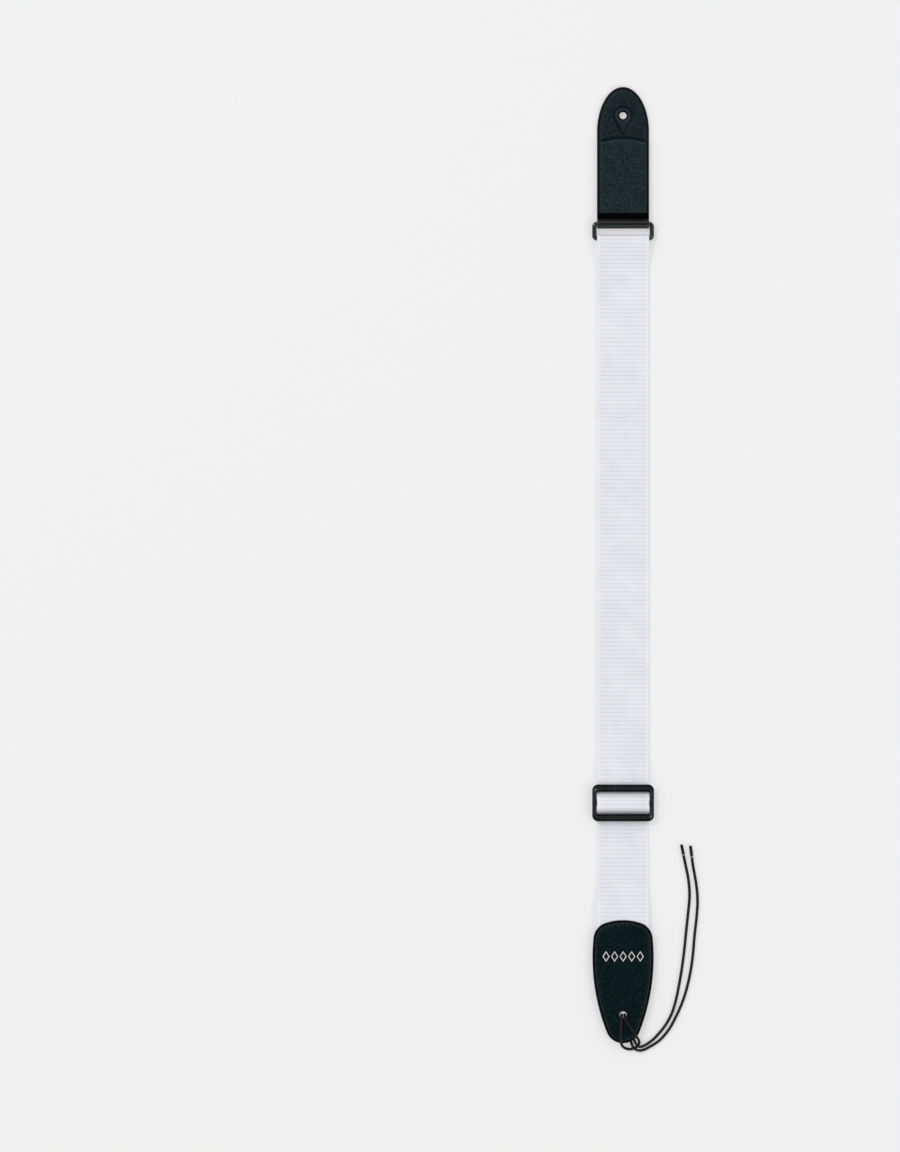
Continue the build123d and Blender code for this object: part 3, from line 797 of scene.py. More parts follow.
def buildLaceTip(name, route, node, length):
    # a sleeve shrunk on the end, a little wider where it starts and closed at its nose
    end, before = np.array(route[-1]), np.array(route[-2])
    way = unit(end - before)
    start = end * mm + np.array((0, laceHoleY, 0.2 * mm))
    line = start + way * length * np.linspace(0, 1, 41)[:, None]

    def sleeve(along, angle):
        share = along / length
        mouth = 0.06 * math.exp(-share * 14)
        nose = 1 - max(0.0, (share - 0.9) / 0.1) ** 2 * 0.45
        crimp = 0.03 * math.exp(-(((share - 0.18) * 18) ** 2))
        return 1.6 * mm * (0.94 + mouth - crimp) * nose

    piece = tubeAlong(name, line, sleeve, laceTipPlastic, 24)
    # the pale edge of the sleeve, where the lace goes in
    reach = [(np.array(v.co) - start) @ way for v in piece.data.vertices]
    addAttribute(piece, "band", 1 - smoothStep(0.55 * mm, 0.75 * mm, np.array(reach)))
    return dress(piece, "bottom_end", [node])


innerTip = buildLaceTip("lace_sleeve_inner", innerRoute, "lace_tip_inner", 10.6 * mm)
outerTip = buildLaceTip("lace_sleeve_outer", outerRoute, "lace_tip_outer", 11.4 * mm)
buildLace("lace_loop", bightRoute, "lace_bight")
buildLace("lace_free_inner", innerRoute, "lace_inner")
buildLace("lace_free_outer", outerRoute, "lace_outer")
print("lace ready")


# Leather tabs: each layer is a shell on a grid that runs in from the outline to a line down the middle

grid = {"around": 420, "rimSteps": 22, "rimWidth": 5.0 * mm, "innerSteps": 34}
seam = {
    "inset": 2.9 * mm,
    "pitch": 2.4 * mm,
    "length": 1.9 * mm,
    "width": 0.62 * mm,
    "height": 0.42 * mm,
    "lean": 0.12,
    "pucker": 0.35,
    "depth": 0.55 * mm,
    "backDepth": 0.42 * mm,
    "halfFurrow": 0.5 * mm,
}


def divided(points, count, closed):
    # the line divided evenly, with the way inwards at each point (to its left)
    spots = np.vstack([points, points[:1]]) if closed else np.array(points)
    along = distanceAlong(spots)
    wanted = np.arange(count) * along[-1] / (count if closed else count - 1)
    loop = np.stack([np.interp(wanted, along, spots[:, k]) for k in range(2)], axis=1)
    ahead = np.roll(loop, -1, axis=0) - np.roll(loop, 1, axis=0) if closed else np.gradient(loop, axis=0)
    return loop, unit(np.stack([-ahead[:, 1], ahead[:, 0]], axis=1)), wanted


def tabGrid(outline, middleY, closed):
    # x, y, distance from the edge and distance along it, each as an array of spokes by rings
    loop, inward, along = divided(outline, grid["around"], closed)
    depths = np.linspace(0, grid["rimWidth"], grid["rimSteps"])
    spots = [loop + inward * depth for depth in depths]
    rimEnd = spots[-1]
    middle = np.stack([np.zeros(len(loop)), middleY(loop[:, 1])], axis=1)
    spots += [rimEnd * (1 - share) + middle * share for share in np.linspace(0, 1, grid["innerSteps"])[1:]]
    spots = np.stack(spots, axis=1)
    distance = np.zeros(spots.shape[:2])
    for k in range(spots.shape[1]):
        apart = np.linalg.norm(spots[:, k, None] - loop[None], axis=2).min(axis=1)
        distance[:, k] = depths[k] if k < len(depths) else apart
    return spots[:, :, 0], spots[:, :, 1], distance, np.repeat(along[:, None], spots.shape[1], axis=1)


def tabShell(name, spread, closed, upper, lower, material, rim, wearAndGlint=0.0):
    # two surfaces on the same grid, joined round their edge
    x, y = spread[:2]
    n, m = x.shape
    top, under = [np.stack([x, y, z], axis=2).reshape(-1, 3) for z in (upper, lower)]
    size = n * m
    faces = []
    for i in range(n if closed else n - 1):
        k = (i + 1) % n
        for j in range(m - 1):
            a, b, c, d = i * m + j, k * m + j, k * m + j + 1, i * m + j + 1
            faces.append((a, b, c, d))
            faces.append((size + d, size + c, size + b, size + a))
        faces.append((size + i * m, size + k * m, k * m, i * m))
    if not closed:
        for j in range(m - 1):
            last = (n - 1) * m + j
            faces.append((j, j + 1, size + j + 1, size + j))
            faces.append((last + 1, last, size + last, size + last + 1))
    piece = finishPiece(name, np.vstack([top, under]), faces, material)
    addAttribute(piece, "rim", np.concatenate([rim.ravel(), rim.ravel()]))
    addAttribute(piece, "wearAndGlint", np.concatenate([(wearAndGlint + np.zeros(x.shape)).ravel(), np.zeros(size)]))
    mendMesh(piece, 0.004 * mm, 0.001 * mm)
    return piece


def cutThrough(piece, holeY, radius, slitWidth, slitEnd):
    # a punched hole and the knife cut that runs from it to slitEnd, taken out as one shape
    side = slitWidth / 2
    start = math.asin(side / radius)
    way = 1 if slitEnd > holeY else -1
    turns = np.linspace(start, fullTurn - start, 49)
    outline = [(radius * math.sin(a), holeY + way * radius * math.cos(a)) for a in turns]
    outline += [(-side, slitEnd), (side, slitEnd)]
    verts = [(x, y, z) for z in (-20 * mm, 40 * mm) for x, y in outline]
    faces = skinFaces(2, len(outline)) + capFaces(2, len(outline))
    cutter = finishPiece("cutter", verts, faces, piece.data.materials[0], smooth=False)
    mendMesh(cutter)
    cut = piece.modifiers.new("cut", "BOOLEAN")
    cut.operation = "DIFFERENCE"
    cut.solver = "EXACT"
    cut.object = cutter
    mesh = applyModifiers(piece)
    bpy.data.objects.remove(cutter)
    mesh.polygons.foreach_set("use_smooth", [True] * len(mesh.polygons))
    mesh.set_sharp_from_angle(angle=math.radians(50))


def unevenness(x, y, scale, seed):
    values = [noise.noise(Vector((px * scale, py * scale, seed))) for px, py in zip(x.ravel(), y.ravel())]
    return np.array(values).reshape(x.shape)


def seamFurrow(distance, along, depth):
    # the furrow along an edge, deeper under each stitch
    pull = 1 + seam["pucker"] * np.cos(fullTurn * along / seam["pitch"])
    return depth * hollow(distance - seam["inset"], seam["halfFurrow"]) * pull


def paintedShade(distance, *lines):
    # painted shade: deep in the seams and over the rim the leather is painted darker, where shade falls
    shade = 1 - smoothStep(2.9 * mm, 3.7 * mm, distance)
    for offset, width in lines:
        shade = np.maximum(shade, hollow(offset, width))
    return shade


def backSurface(level, distance, along, x, y):
    # the plain side of a tab, seen from behind: a rounded edge and the seam's furrow
    z = level + roundedEdge(distance, 0.5 * mm) + seamFurrow(distance, along, seam["backDepth"])
    return z + 0.04 * mm * (1 + unevenness(x, y, 90, 7.5)) * smoothStep(0, 2 * mm, distance)


# Top tab

topTab = {
    "tipRise": 43.0 * mm,
    "halfWidth": (topHigh[0] - topLow[0]) / 2,
    "panelTop": 6.45 * mm,
    "panelRim": 5.75 * mm,
    "panelCrown": 0.35 * mm,
    "tipTop": 4.0 * mm,
    "tipRim": 3.6 * mm,
    "lip": 1.25 * mm,
    "skin": 1.2 * mm,
    "crossSeamY": topHigh[1] - 48.5 * mm,
    "crossRise": 2.8 * mm,
    "crossDepth": 0.8 * mm,
    "baseSeam": 1.45 * mm,
    "holeRadius": 3.4 * mm,
    "slit": 12.0 * mm,
    "slitWidth": 0.14 * mm,
    "beadRadius": 6.1 * mm,
    "dropRadius": 8.8 * mm,
    "dropReach": 19.2 * mm,
    "tails": 14.0 * mm,
}
tipCentre = topHigh[1] - topTab["tipRise"]
topSlitEnd = buttonholeY - topTab["holeRadius"] - topTab["slit"]
dropLean = math.acos(topTab["dropRadius"] / topTab["dropReach"])


def topOutline():
    # from the base's right corner, up round the tip and down to its left corner
    half, rise, base = topTab["halfWidth"], topTab["tipRise"], topLow[1]
    turn = np.linspace(0, math.pi, 181)
    tip = np.stack([half * np.cos(turn), tipCentre + rise * np.sin(turn)], axis=1)
    right = np.stack([np.full(80, half), np.linspace(base, tipCentre, 81)[:-1]], axis=1)
    left = np.stack([np.full(80, -half), np.linspace(tipCentre, base, 81)[1:]], axis=1)
    return np.vstack([right, tip, left])


def topMiddle(y):
    # where each spoke of the grid ends: level with the straight sides, and up the tip's middle
    rise = np.clip((y - tipCentre) / topTab["tipRise"], 0, 1)
    return np.where(y < tipCentre, y, tipCentre + rise * (topTab["tipRise"] - 14.5 * mm))


def crossSeamAt(x):
    span = topTab["halfWidth"] - 2 * seam["inset"]
    radius = (span**2 + topTab["crossRise"] ** 2) / (2 * topTab["crossRise"])
    return topTab["crossSeamY"] - radius + np.sqrt(radius**2 - np.minimum(np.abs(x), span) ** 2)


def dropLine():
    # round the buttonhole and down to a point
    radius = topTab["dropRadius"]
    turn = np.linspace(-math.pi / 2 + dropLean, 1.5 * math.pi - dropLean, 90)
    around = np.stack([radius * np.cos(turn), radius * np.sin(turn)], axis=1)
    start, point = around[0], np.array([0, -topTab["dropReach"]])
    down = [around[-1] + (point - around[-1]) * t for t in np.linspace(0, 1, 30)[1:]]
    back = [point + (start - point) * t for t in np.linspace(0, 1, 30)[1:-1]]
    return np.vstack([around, down, back]) + np.array([0, buttonholeY])


def fromDrop(x, y):
    # distance from the drop's line, negative inside it
    distance = np.full(x.shape, 1.0)
    for px, py in dropLine():
        distance = np.minimum(distance, np.hypot(x - px, y - py))
    along = (y - buttonholeY) + topTab["dropReach"]
    wedge = (np.abs(x) < along * math.tan(math.pi / 2 - dropLean)) & (along > 0) & (y < buttonholeY)
    ball = np.hypot(x, y - buttonholeY) < topTab["dropRadius"]
    return np.where(wedge | ball, -distance, distance)


def topSurface(x, y, distance, along):
    seamY = crossSeamAt(x)
    panel = 1 - smoothStep(seamY - 3.4 * mm, seamY - 0.2 * mm, y)
    rim = topTab["tipRim"] + (topTab["panelRim"] - topTab["tipRim"]) * panel
    crown = topTab["panelTop"] - topTab["panelCrown"] * (x / topTab["halfWidth"]) ** 2
    level = topTab["tipTop"] + (crown - topTab["tipTop"]) * panel
    z = rim + (level - rim) * smoothStep(3.0 * mm, 5.6 * mm, distance)
    z = z - roundedEdge(distance, topTab["lip"]) - seamFurrow(distance, along, seam["depth"])
    inner = smoothStep(3.0 * mm, 4.0 * mm, distance)
    pull = 1 + seam["pucker"] * np.cos(fullTurn * x / seam["pitch"])
    z = z - topTab["crossDepth"] * hollow(y - seamY, 0.75 * mm) * inner * pull
    z = z - 0.4 * mm * hollow(y - topLow[1] - topTab["baseSeam"], 0.5 * mm) * (distance > 2.4 * mm)
    z = z - 0.5 * mm * (1 - smoothStep(0, 0.7 * mm, y - topLow[1])) ** 2
    drop = fromDrop(x, y)
    z = z + 0.35 * mm * (1 - smoothStep(-1.6 * mm, -0.3 * mm, drop)) - 0.8 * mm * hollow(drop, 0.75 * mm)
    away = np.hypot(x, y - buttonholeY)
    z = z + 0.6 * mm * hollow(away - topTab["beadRadius"], 0.9 * mm)
    z = z - 0.5 * mm * (1 - smoothStep(topTab["holeRadius"], 4.6 * mm, away))
    cut = (y < buttonholeY) & (y > topSlitEnd) & (away > 4 * mm)
    z = z - 0.35 * mm * hollow(x, 0.6 * mm) * cut
    return z + 0.16 * mm * unevenness(x, y, 60, 1.5) * inner + 0.05 * mm * unevenness(x, y, 260, 4.5)


def topCover(spread):
    x, y, distance = spread[:3]
    upper = topSurface(*spread)
    floor = liningHigh[2]
    pocket = smoothStep(4.9 * mm, 5.2 * mm, distance)
    lower = floor + np.maximum(upper - topTab["skin"] - floor, 0) * pocket
    lower = np.where(y < topLow[1] + topTab["tails"] + 0.3 * mm, padHigh[2] + 0.02 * mm, lower)
    away = np.hypot(x, y - buttonholeY)
    seamGap = y - crossSeamAt(x)
    base = y - topLow[1] - topTab["baseSeam"]
    # painted shade in the furrows of the drop, the cross seam and the base seam, and over the rim
    shade = paintedShade(distance, (fromDrop(x, y), 1.25 * mm), (seamGap, 1.1 * mm), (base, 0.6 * mm))
    slit = (y < buttonholeY) & (y > topSlitEnd)
    # more painted shade: black round the hole's rim and down the slit; the tip beyond the cross seam is made a little
    # darker as well
    for darker in (
        0.85 * (1 - smoothStep(4.7 * mm, 5.5 * mm, away)),
        0.22 * smoothStep(0, 2 * mm, seamGap),
        0.9 * hollow(x, 0.5 * mm) * slit,
    ):
        shade = np.maximum(shade, darker)
    # painted highlight, with some edge wear: on the bead's crest, on the slope below the cross seam, along the outer
    # edge and faintly inside the seam
    wearAndGlint = 0.9 * hollow(away - 6.3 * mm, 0.55 * mm) + 0.6 * hollow(seamGap + 3.2 * mm, 0.9 * mm) * (distance > 4 * mm)
    wearAndGlint = wearAndGlint + 0.7 * hollow(distance - 0.7 * mm, 0.4 * mm) + 0.15 * hollow(distance - 4.9 * mm, 0.7 * mm)
    lower = np.minimum(lower, upper - 0.2 * mm)
    cover = tabShell("top_tab_cover", spread, False, upper, lower, coverLeather, shade, np.clip(wearAndGlint, 0, 1))
    cutThrough(cover, buttonholeY, topTab["holeRadius"], topTab["slitWidth"], topSlitEnd)
    dress(cover, "top_tab", ["top_tab_front"])


def topLining(spread):
    x, y, distance, along = spread
    lower = backSurface(liningLow[2], distance, along, x, y)
    lower = lower + 0.35 * mm * hollow(y - crossSeamAt(x), 0.5 * mm) * smoothStep(3 * mm, 4 * mm, distance)
    lower = lower + 0.35 * mm * hollow(fromDrop(x, y), 0.5 * mm)
    upper = np.full(x.shape, liningHigh[2])
    # the lining's edge and seams get half as much painted shade
    lining = tabShell("top_tab_back", spread, False, upper, lower, liningLeather, paintedShade(distance) * 0.5)
    cutThrough(lining, buttonholeY, topTab["holeRadius"], topTab["slitWidth"] / 6, topSlitEnd)
    dress(lining, "top_tab", ["top_tab_lining"])


def topPad():
    # the foam under the panel, crowned like the leather over it
    low, high = padLow, padHigh
    rows, columns = 60, 70
    x, y = np.meshgrid(np.linspace(low[0], high[0], rows), np.linspace(low[1], high[1], columns), indexing="ij")
    distance = topTab["halfWidth"] - np.abs(x)
    top = topSurface(x, y, distance, np.zeros(x.shape)) - topTab["skin"] - 0.04 * mm
    inset = np.minimum(np.minimum(x - low[0], high[0] - x), np.minimum(y - low[1], high[1] - y))
    upper = np.minimum(top, high[2]) - 0.8 * mm * (1 - smoothStep(0, 2.5 * mm, inset)) ** 2
    lower = np.full(x.shape, low[2])
    cells = np.arange(rows * columns).reshape(rows, columns)
    quads = np.stack([cells[:-1, :-1], cells[1:, :-1], cells[1:, 1:], cells[:-1, 1:]], axis=-1).reshape(-1, 4)
    rim = [*cells[:, 0], *cells[-1, 1:], *cells[-2::-1, -1], *cells[0, -2:0:-1]]
    faces = [*quads, *(quads[:, ::-1] + x.size)]
    faces += [(b, a, x.size + a, x.size + b) for a, b in zip(rim, rim[1:] + rim[:1])]
    verts = [np.stack([x, y, z], axis=2).reshape(-1, 3) for z in (upper, lower)]
    pad = finishPiece("top_tab_foam", np.vstack(verts), faces, foamMaterial, "top_tab", ["top_tab_pad"])
    mendMesh(pad)


topSpread = tabGrid(topOutline(), topMiddle, False)
topCover(topSpread)
topLining(topSpread)
topPad()
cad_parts["top_tab_tip_board"].data.materials[0] = boardMaterial
print("top tab ready")


# Leather roll, folded round the ring's upper bar with both tails in the tab

roll = {"leather": 2.0 * mm, "gap": 0.5 * mm, "edge": 0.5 * mm, "shadeFrom": 4.2 * mm}


def leatherRoll():
    half = roll["leather"] / 2
    radius = wire / 2 + roll["gap"] + half
    base, tail = topLow[1], topLow[1] + topTab["tails"]
    lowTail = liningHigh[2] + half
    highTail = lowTail + roll["leather"] + plyGap
    points = [
        (tail, lowTail),
        (base - 1 * mm, lowTail),
        (upperBarY + 3 * mm, ringZ - radius),
        (upperBarY - radius, ringZ - radius),
        (upperBarY - radius, ringZ + radius),
        (upperBarY + 0.8 * mm, ringZ + radius),
        (upperBarY + 4.6 * mm, highTail + 0.15 * mm),
        (base - 1.4 * mm, highTail),
        (tail, highTail),
    ]
    bend = radius - plyGap
    radii = [6 * mm, 6 * mm, bend, bend, 2.2 * mm, 2 * mm, 5 * mm]
    width, leather = rollHigh[0] - rollLow[0], roll["leather"]
    piece = buildStrip("leather_roll", points, radii, width, leather, rollLeather, 0.35 * mm, 60, roll["edge"])[0]
    # painted shade: the faces in the trough behind the roll take the near-black leather, and the slope down into the
    # trough is painted darker
    piece.data.materials.append(shadedTroughLeather)
    for face in piece.data.polygons:
        face.material_index = int(face.center.y > upperBarY + roll["shadeFrom"])
    shade = []
    for v in piece.data.vertices:
        shade.append(float(smoothStep(upperBarY + 2.5 * mm, upperBarY + 5 * mm, v.co.y)))
        crease = noise.noise(Vector((v.co.x * 25, v.co.y * 160, v.co.z * 160)))
        v.co.z += 0.06 * mm * crease * (v.co.z >= 0.3 * mm)  # its foot stays flat
        v.co.y += 0.12 * mm * noise.noise(Vector((v.co.x * 70, v.co.z * 120, 3.5)))
    addAttribute(piece, "rim", shade)
    dress(piece, "top_tab", ["ring_loop_leather"])


leatherRoll()
print("roll ready")


# Bottom tab

bottomTab = {
    "halfWidth": coverHigh[0],
    "apexArc": 55.0 * mm,
    "shoulderArc": 17.0 * mm,
    "sideArc": 195.0 * mm,
    "footArc": 17.0 * mm,
    "widestFromApex": 36.0 * mm,
    "lip": 1.2 * mm,
    "holeRadius": 3.4 * mm,
    "slit": 16.0 * mm,
    "slitWidth": 0.14 * mm,
    "skin": 1.6 * mm,
    "webbingIn": 32.0 * mm,
}
bottomSlitEnd = laceHoleY + bottomTab["holeRadius"] + bottomTab["slit"]
webbingEnd = coverHigh[1] - bottomTab["webbingIn"]


def circleMeet(first, firstRadius, second, secondRadius):
    # the right-hand point where two circles cross
    way = second - first
    apart = np.hypot(*way)
    along = (firstRadius**2 - secondRadius**2 + apart**2) / (2 * apart)
    across = math.sqrt(firstRadius**2 - along**2)
    spots = [first + (way * along + s * across * np.array([-way[1], way[0]])) / apart for s in (1, -1)]
    return max(spots, key=tuple)


def bearing(start, end):
    return math.atan2(end[1] - start[1], end[0] - start[0])


def bottomOutline():
    # tangent arcs from the foot, up the right side and over the apex, then mirrored down the left
    foot, apex = coverLow[1], coverHigh[1]
    apexArc, shoulderArc, sideArc, footArc = [bottomTab[k] for k in ("apexArc", "shoulderArc", "sideArc", "footArc")]
    apexCentre = np.array([0, apex - apexArc])
    sideCentre = np.array([bottomTab["halfWidth"] - sideArc, apex - bottomTab["widestFromApex"]])
    footCentre = np.array([0, foot + footArc])
    shoulder = circleMeet(apexCentre, apexArc - shoulderArc, sideCentre, sideArc - shoulderArc)
    arcs = (
        (footCentre, footArc, -math.pi / 2),
        (sideCentre, sideArc, bearing(sideCentre, footCentre)),
        (shoulder, shoulderArc, bearing(sideCentre, shoulder)),
        (apexCentre, apexArc, bearing(apexCentre, shoulder)),
    )
    ends = [start for centre, radius, start in arcs[1:]] + [math.pi / 2]
    right = []
    for (centre, radius, start), end in zip(arcs, ends):
        for turn in np.linspace(start, end, 60)[:-1]:
            right.append((centre[0] + radius * math.cos(turn), centre[1] + radius * math.sin(turn)))
    right.append((0.0, apex))
    return np.array(right + [(-x, y) for x, y in reversed(right[1:-1])])


def bottomMiddle(y):
    foot, apex = coverLow[1], coverHigh[1]
    return foot + 17 * mm + (y - foot) / (apex - foot) * (apex - foot - 39 * mm)


def bottomSurface(x, y, distance, along):
    z = coverHigh[2] - 0.25 * mm + 0.25 * mm * smoothStep(3.2 * mm, 9 * mm, distance)
    z = z - roundedEdge(distance, bottomTab["lip"]) - seamFurrow(distance, along, seam["depth"])
    away = np.hypot(x, y - laceHoleY)
    z = z - 0.35 * mm * (1 - smoothStep(bottomTab["holeRadius"], 5.2 * mm, away))
    z = z - 0.3 * mm * hollow(x, 0.5 * mm) * ((y > laceHoleY) & (y < bottomSlitEnd))
    inner = smoothStep(3 * mm, 5 * mm, distance)
    # the webbing's end shows faintly through the leather
    z = z - 0.12 * mm * (1 - smoothStep(webbingEnd - 1.5 * mm, webbingEnd + 1.5 * mm, y)) * inner
    return z + 0.07 * mm * unevenness(x, y, 55, 2.5) * inner - 0.04 * mm


def bottomLayers(spread):
    x, y, distance, along = spread
    upper = bottomSurface(*spread)
    floor = coverLow[2]
    pocket = smoothStep(4.5 * mm, 4.8 * mm, distance)
    lower = floor + np.maximum(upper - bottomTab["skin"] - floor, 0) * pocket
    webbed = (y > webbingEnd - 0.3 * mm) & (np.abs(x) < webWidth / 2 + 0.3 * mm)
    lower = np.where(webbed, np.maximum(lower, tailHigh[2] + 0.02 * mm), lower)
    lower = np.minimum(lower, upper - 0.2 * mm)
    # painted highlight, with some edge wear, along the outer edge and just inside the seam; painted shade over the rim
    # and in the seam, half as much on the lining
    wearAndGlint = np.clip(0.8 * hollow(distance - 0.7 * mm, 0.4 * mm) + 0.4 * hollow(distance - 4.6 * mm, 0.7 * mm), 0, 1)
    shade = paintedShade(distance)
    cover = tabShell("bottom_tab_cover", spread, True, upper, lower, smoothLeather, shade, wearAndGlint)
    cutThrough(cover, laceHoleY, bottomTab["holeRadius"], bottomTab["slitWidth"], bottomSlitEnd)
    dress(cover, "bottom_end", ["bottom_tab_front"])
    upper, lower = np.full(x.shape, backHigh[2]), backSurface(backLow[2], distance, along, x, y)
    back = tabShell("bottom_tab_lining", spread, True, upper, lower, liningLeather, shade * 0.5)
    cutThrough(back, laceHoleY, bottomTab["holeRadius"], bottomTab["slitWidth"] / 6, bottomSlitEnd)
    dress(back, "bottom_end", ["bottom_tab_back"])


bottomLayers(tabGrid(bottomOutline(), bottomMiddle, True))
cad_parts["bottom_tab_core"].data.materials[0] = boardMaterial
print("bottom tab ready")


# Stitches along each seam


def stitchTree():
    sizes = {name: seam[name.lower()] for name in ("Pitch", "Length", "Width", "Height", "Lean")}
    tree, entry = startTree("stitchRow", sizes)
    curve = addNode(tree, "GeometryNodeMeshToCurve", {"Mesh": entry["Geometry"]}).outputs[0]
    spots = addNode(tree, "GeometryNodeResampleCurve", {"Curve": curve, "Length": entry["Pitch"]}, mode="LENGTH")
    ball = addNode(tree, "GeometryNodeMeshUVSphere", {"Segments": 8, "Rings": 6, "Radius": 0.5}).outputs[0]
    size = addNode(tree, "ShaderNodeCombineXYZ", {0: entry["Length"], 1: entry["Width"], 2: entry["Height"]})
    stitch = addNode(tree, "GeometryNodeTransform", {"Geometry": ball, "Scale": size.outputs[0]}).outputs[0]
    tangent = addNode(tree, "GeometryNodeInputTangent").outputs[0]
    turn = addNode(tree, "FunctionNodeAlignEulerToVector", {"Vector": tangent}, axis="X", pivot_axis="Z").outputs[0]
    lean = addNode(tree, "ShaderNodeCombineXYZ", {2: entry["Lean"]}).outputs[0]
    turned = addNode(tree, "FunctionNodeRotateEuler", {"Rotation": turn, "Rotate By": lean}, space="LOCAL").outputs[0]
    inputs = {"Points": spots.outputs[0], "Instance": stitch, "Rotation": turned}
    row = addNode(tree, "GeometryNodeInstanceOnPoints", inputs).outputs[0]
    return endTree(tree, row, entry["Material"])


stitched = stitchTree()


def stitchRows(name, lines, material, body, node):
    # lines are lists of (x, y, z) points, one for each row
    verts, edges = [], []
    for line in lines:
        start = len(verts)
        verts += [tuple(map(float, p)) for p in line]
        edges += [(start + i, start + i + 1) for i in range(len(line) - 1)]
    mesh = bpy.data.meshes.new(name)
    mesh.from_pydata(verts, edges, [])
    piece = addObject(name, mesh)
    applyTree(piece, stitched, Material=material)
    dress(piece, body, [node])


def onSurface(surface, line, distance):
    # the line laid on a surface, level with the bottom of its furrow
    x, y = line.T
    z = surface(x, y, np.full(len(x), distance), np.full(len(x), seam["pitch"] / 2))
    return np.column_stack([x, y, z + 0.12 * mm])


def atLevel(line, level):
    return np.column_stack([line, np.full(len(line), level)])


def acrossAt(y, count=60):
    return np.column_stack([np.linspace(-22.1 * mm, 22.1 * mm, count), np.full(count, y)])


def seamFrom(outline, closed):
    loop, inward, along = divided(outline, 400, closed)
    line = loop + inward * seam["inset"]
    return np.vstack([line, line[:1]]) if closed else line


edgeLine = seamFrom(topOutline(), False)
edgeLine = edgeLine[edgeLine[:, 1] > topLow[1] + 1.4 * mm]
crossX = np.linspace(-19.2 * mm, 19.2 * mm, 80)
crossLine = np.column_stack([crossX, crossSeamAt(crossX)])
dropRow = np.vstack([dropLine(), dropLine()[:1]])
deep = 12 * mm  # further in than any edge or seam reaches
underneath = 0.3 * mm
for rowName, rowLine, rowDepth, rowNode, rowThread in (
    ("stitches_edge", edgeLine, seam["inset"], "edge_thread", blackThreadPaintedGlint),
    ("stitches_cross", crossLine, deep, "cross_seam_thread", blackThreadPaintedShade),
    ("stitches_buttonhole", dropRow, deep, "keyhole_thread", blackThreadPaintedShade),
):
    rows = [onSurface(topSurface, rowLine, rowDepth), atLevel(rowLine, underneath)]
    stitchRows(rowName, rows, rowThread, "top_tab", rowNode)
baseRow = onSurface(topSurface, acrossAt(topLow[1] + topTab["baseSeam"]), deep)
stitchRows("stitches_base", [baseRow], blackThreadPaintedGlint, "top_tab", "base_seam_thread")
bottomLine = seamFrom(bottomOutline(), True)
rows = [onSurface(bottomSurface, bottomLine, seam["inset"]), atLevel(bottomLine, backLow[2] + underneath)]
stitchRows("stitches_bottom_tab", rows, blackThreadPaintedGlint, "bottom_end", "bottom_tab_thread")
flapRows = [
    atLevel(acrossAt(sliderY + slider["flap"] - drop), level)
    for drop in (4 * mm, 12 * mm)
    for level in (0.24 * mm, 2 * thickness + plyGap - 0.2 * mm)
]
stitchRows("stitches_flap", flapRows, whiteThread, "slider", "sewn_end_thread")
print("stitches ready")


# Slider: ridged bars between two rounded rectangles, and a rounded bar across the middle

ridge = {"rows": 26, "depth": 0.5 * mm, "halfWidth": 0.9 * mm, "lip": 0.9 * mm, "inner": 1.8 * mm}


def roundedLoop(width, height, radius, cornerSteps=10, sideSteps=24):
    loop = []
    for k, (sx, sy) in enumerate(((1, 1), (-1, 1), (-1, -1), (1, -1))):
        centre = np.array([sx * (width / 2 - radius), sy * (height / 2 - radius)])
        turns = math.pi / 2 * (k + np.linspace(0, 1, cornerSteps + 1))
        loop.append(centre + radius * np.column_stack([np.cos(turns), np.sin(turns)]))
    for k in range(4):
        start, end = loop[k][-1], loop[(k + 1) % 4][0]
        shares = np.arange(1, sideSteps)[:, None] / sideSteps
        loop[k] = np.vstack([loop[k], start + (end - start) * shares])
    return np.vstack(loop)


def sliderPiece():
    width, height = sliderHigh[0] - sliderLow[0], sliderHigh[1] - sliderLow[1]
    middleZ, half = (sliderLow[2] + sliderHigh[2]) / 2, (sliderHigh[2] - sliderLow[2]) / 2
    outer = roundedLoop(width, height, slider["corner"])
    inner = roundedLoop(width - 2 * slider["leg"], height - 2 * slider["outerBar"], ridge["inner"])
    bar = np.linalg.norm(inner - outer, axis=1)
    shares = (1 - np.cos(np.linspace(0, math.pi, ridge["rows"]))) / 2

    def layer(share, grooved, face):
        rise = half - roundedEdge(np.minimum(share, 1 - share) * bar, ridge["lip"])
        rise = rise - grooved * ridge["depth"] * hollow((share - 0.5) * bar, ridge["halfWidth"])
        return np.column_stack([outer + (inner - outer) * share, middleZ + face * rise])

    rings = [layer(share, 1, 1) for share in shares] + [layer(share, 0, -1) for share in shares[::-1]]
    faces = skinFaces(len(rings), len(outer), True)
    # the centre bar, which the webbing's end is wrapped round
    reach = width / 2 - slider["leg"] + 0.4 * mm
    section = roundedLoop(slider["centreBar"], 2 * half, 1.1 * mm, 6, 4)
    stations, start = 12, len(rings) * len(outer)
    barVerts = [(x, y, middleZ + z) for x in np.linspace(-reach, reach, stations) for y, z in section]
    faces += skinFaces(stations, len(section), False, start) + capFaces(stations, len(section), start)
    verts = np.vstack([*rings, barVerts]) + np.array([0, sliderY, 0])
    piece = finishPiece("slider_body", verts, faces, sliderPlastic, "slider", ["slider_frame"])
    mendMesh(piece, 0.002 * mm)
    piece.data.set_sharp_from_angle(angle=math.radians(50))


sliderPiece()
print("slider ready")


# Ring: one round wire bent to a rounded rectangle and joined


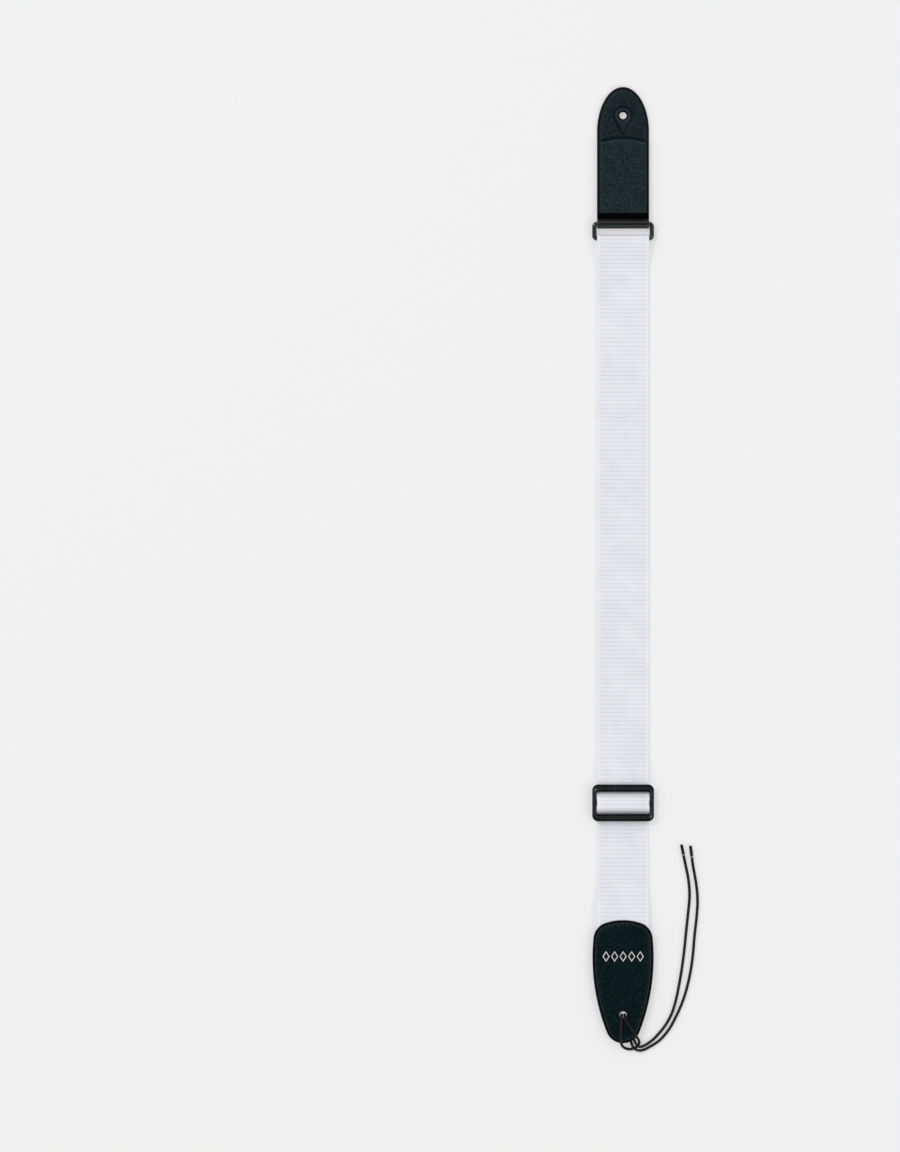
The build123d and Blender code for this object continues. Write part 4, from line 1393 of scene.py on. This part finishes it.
def ringPiece():
    loop = roundedLoop(ringHigh[0] - ringLow[0] - wire, barSpacing, 2.6 * mm, 14, 40)
    sides = 28
    ahead = unit(np.roll(loop, -1, axis=0) - np.roll(loop, 1, axis=0))
    outward = np.stack([ahead[:, 1], -ahead[:, 0]], axis=1)
    verts = []
    for spot, way in zip(loop, outward):
        for turn in np.arange(sides) * fullTurn / sides:
            x, y = spot + way * math.cos(turn) * wire / 2
            verts.append((x, ringY + y, ringZ + math.sin(turn) * wire / 2))
    faces = skinFaces(len(loop), sides, True)
    piece = finishPiece("ring_wire", verts, faces, ringEnamel, "ring_link", ["ring"])
    mendMesh(piece)


ringPiece()
print("ring ready")


# Printed mark: a plain row of lozenges

mark = {
    "y": coverHigh[1] - 34.8 * mm,
    "count": 5,
    "pitch": 8.2 * mm,
    "halfWidth": 3.4 * mm,
    "halfHeight": 5.2 * mm,
    "line": 0.85 * mm,
    "ink": 0.05 * mm,
    "edgeSteps": 6,
}


def lozenge(x, shrink):
    # a loop round one lozenge, with a few points to each side so that it follows the leather
    w, h = mark["halfWidth"] - shrink * 0.9, mark["halfHeight"] - shrink * 1.35
    corners = np.array([(x + w, mark["y"]), (x, mark["y"] + h), (x - w, mark["y"]), (x, mark["y"] - h)])
    ways = np.roll(corners, -1, axis=0) - corners
    shares = np.arange(mark["edgeSteps"])[:, None] / mark["edgeSteps"]
    return np.vstack([corner + way * shares for corner, way in zip(corners, ways)])


def onLeather(loop, lift):
    x, y = loop.T
    z = bottomSurface(x, y, np.full(len(x), deep), np.zeros(len(x)))
    return np.column_stack([x, y, z + lift])


def printedMark():
    verts, faces = [], []
    for k in range(mark["count"]):
        x = (k - (mark["count"] - 1) / 2) * mark["pitch"]
        outer, inner = lozenge(x, 0), lozenge(x, mark["line"] * 1.3)
        faces += skinFaces(4, len(outer), True, len(verts))
        for loop, lift in ((outer, 1), (inner, 1), (inner, -1), (outer, -1)):
            verts += list(onLeather(loop, lift * mark["ink"]))
    piece = finishPiece("printed_lozenges", verts, faces, markInk, "bottom_end", smooth=False)
    mendMesh(piece)


printedMark()
print("mark ready")
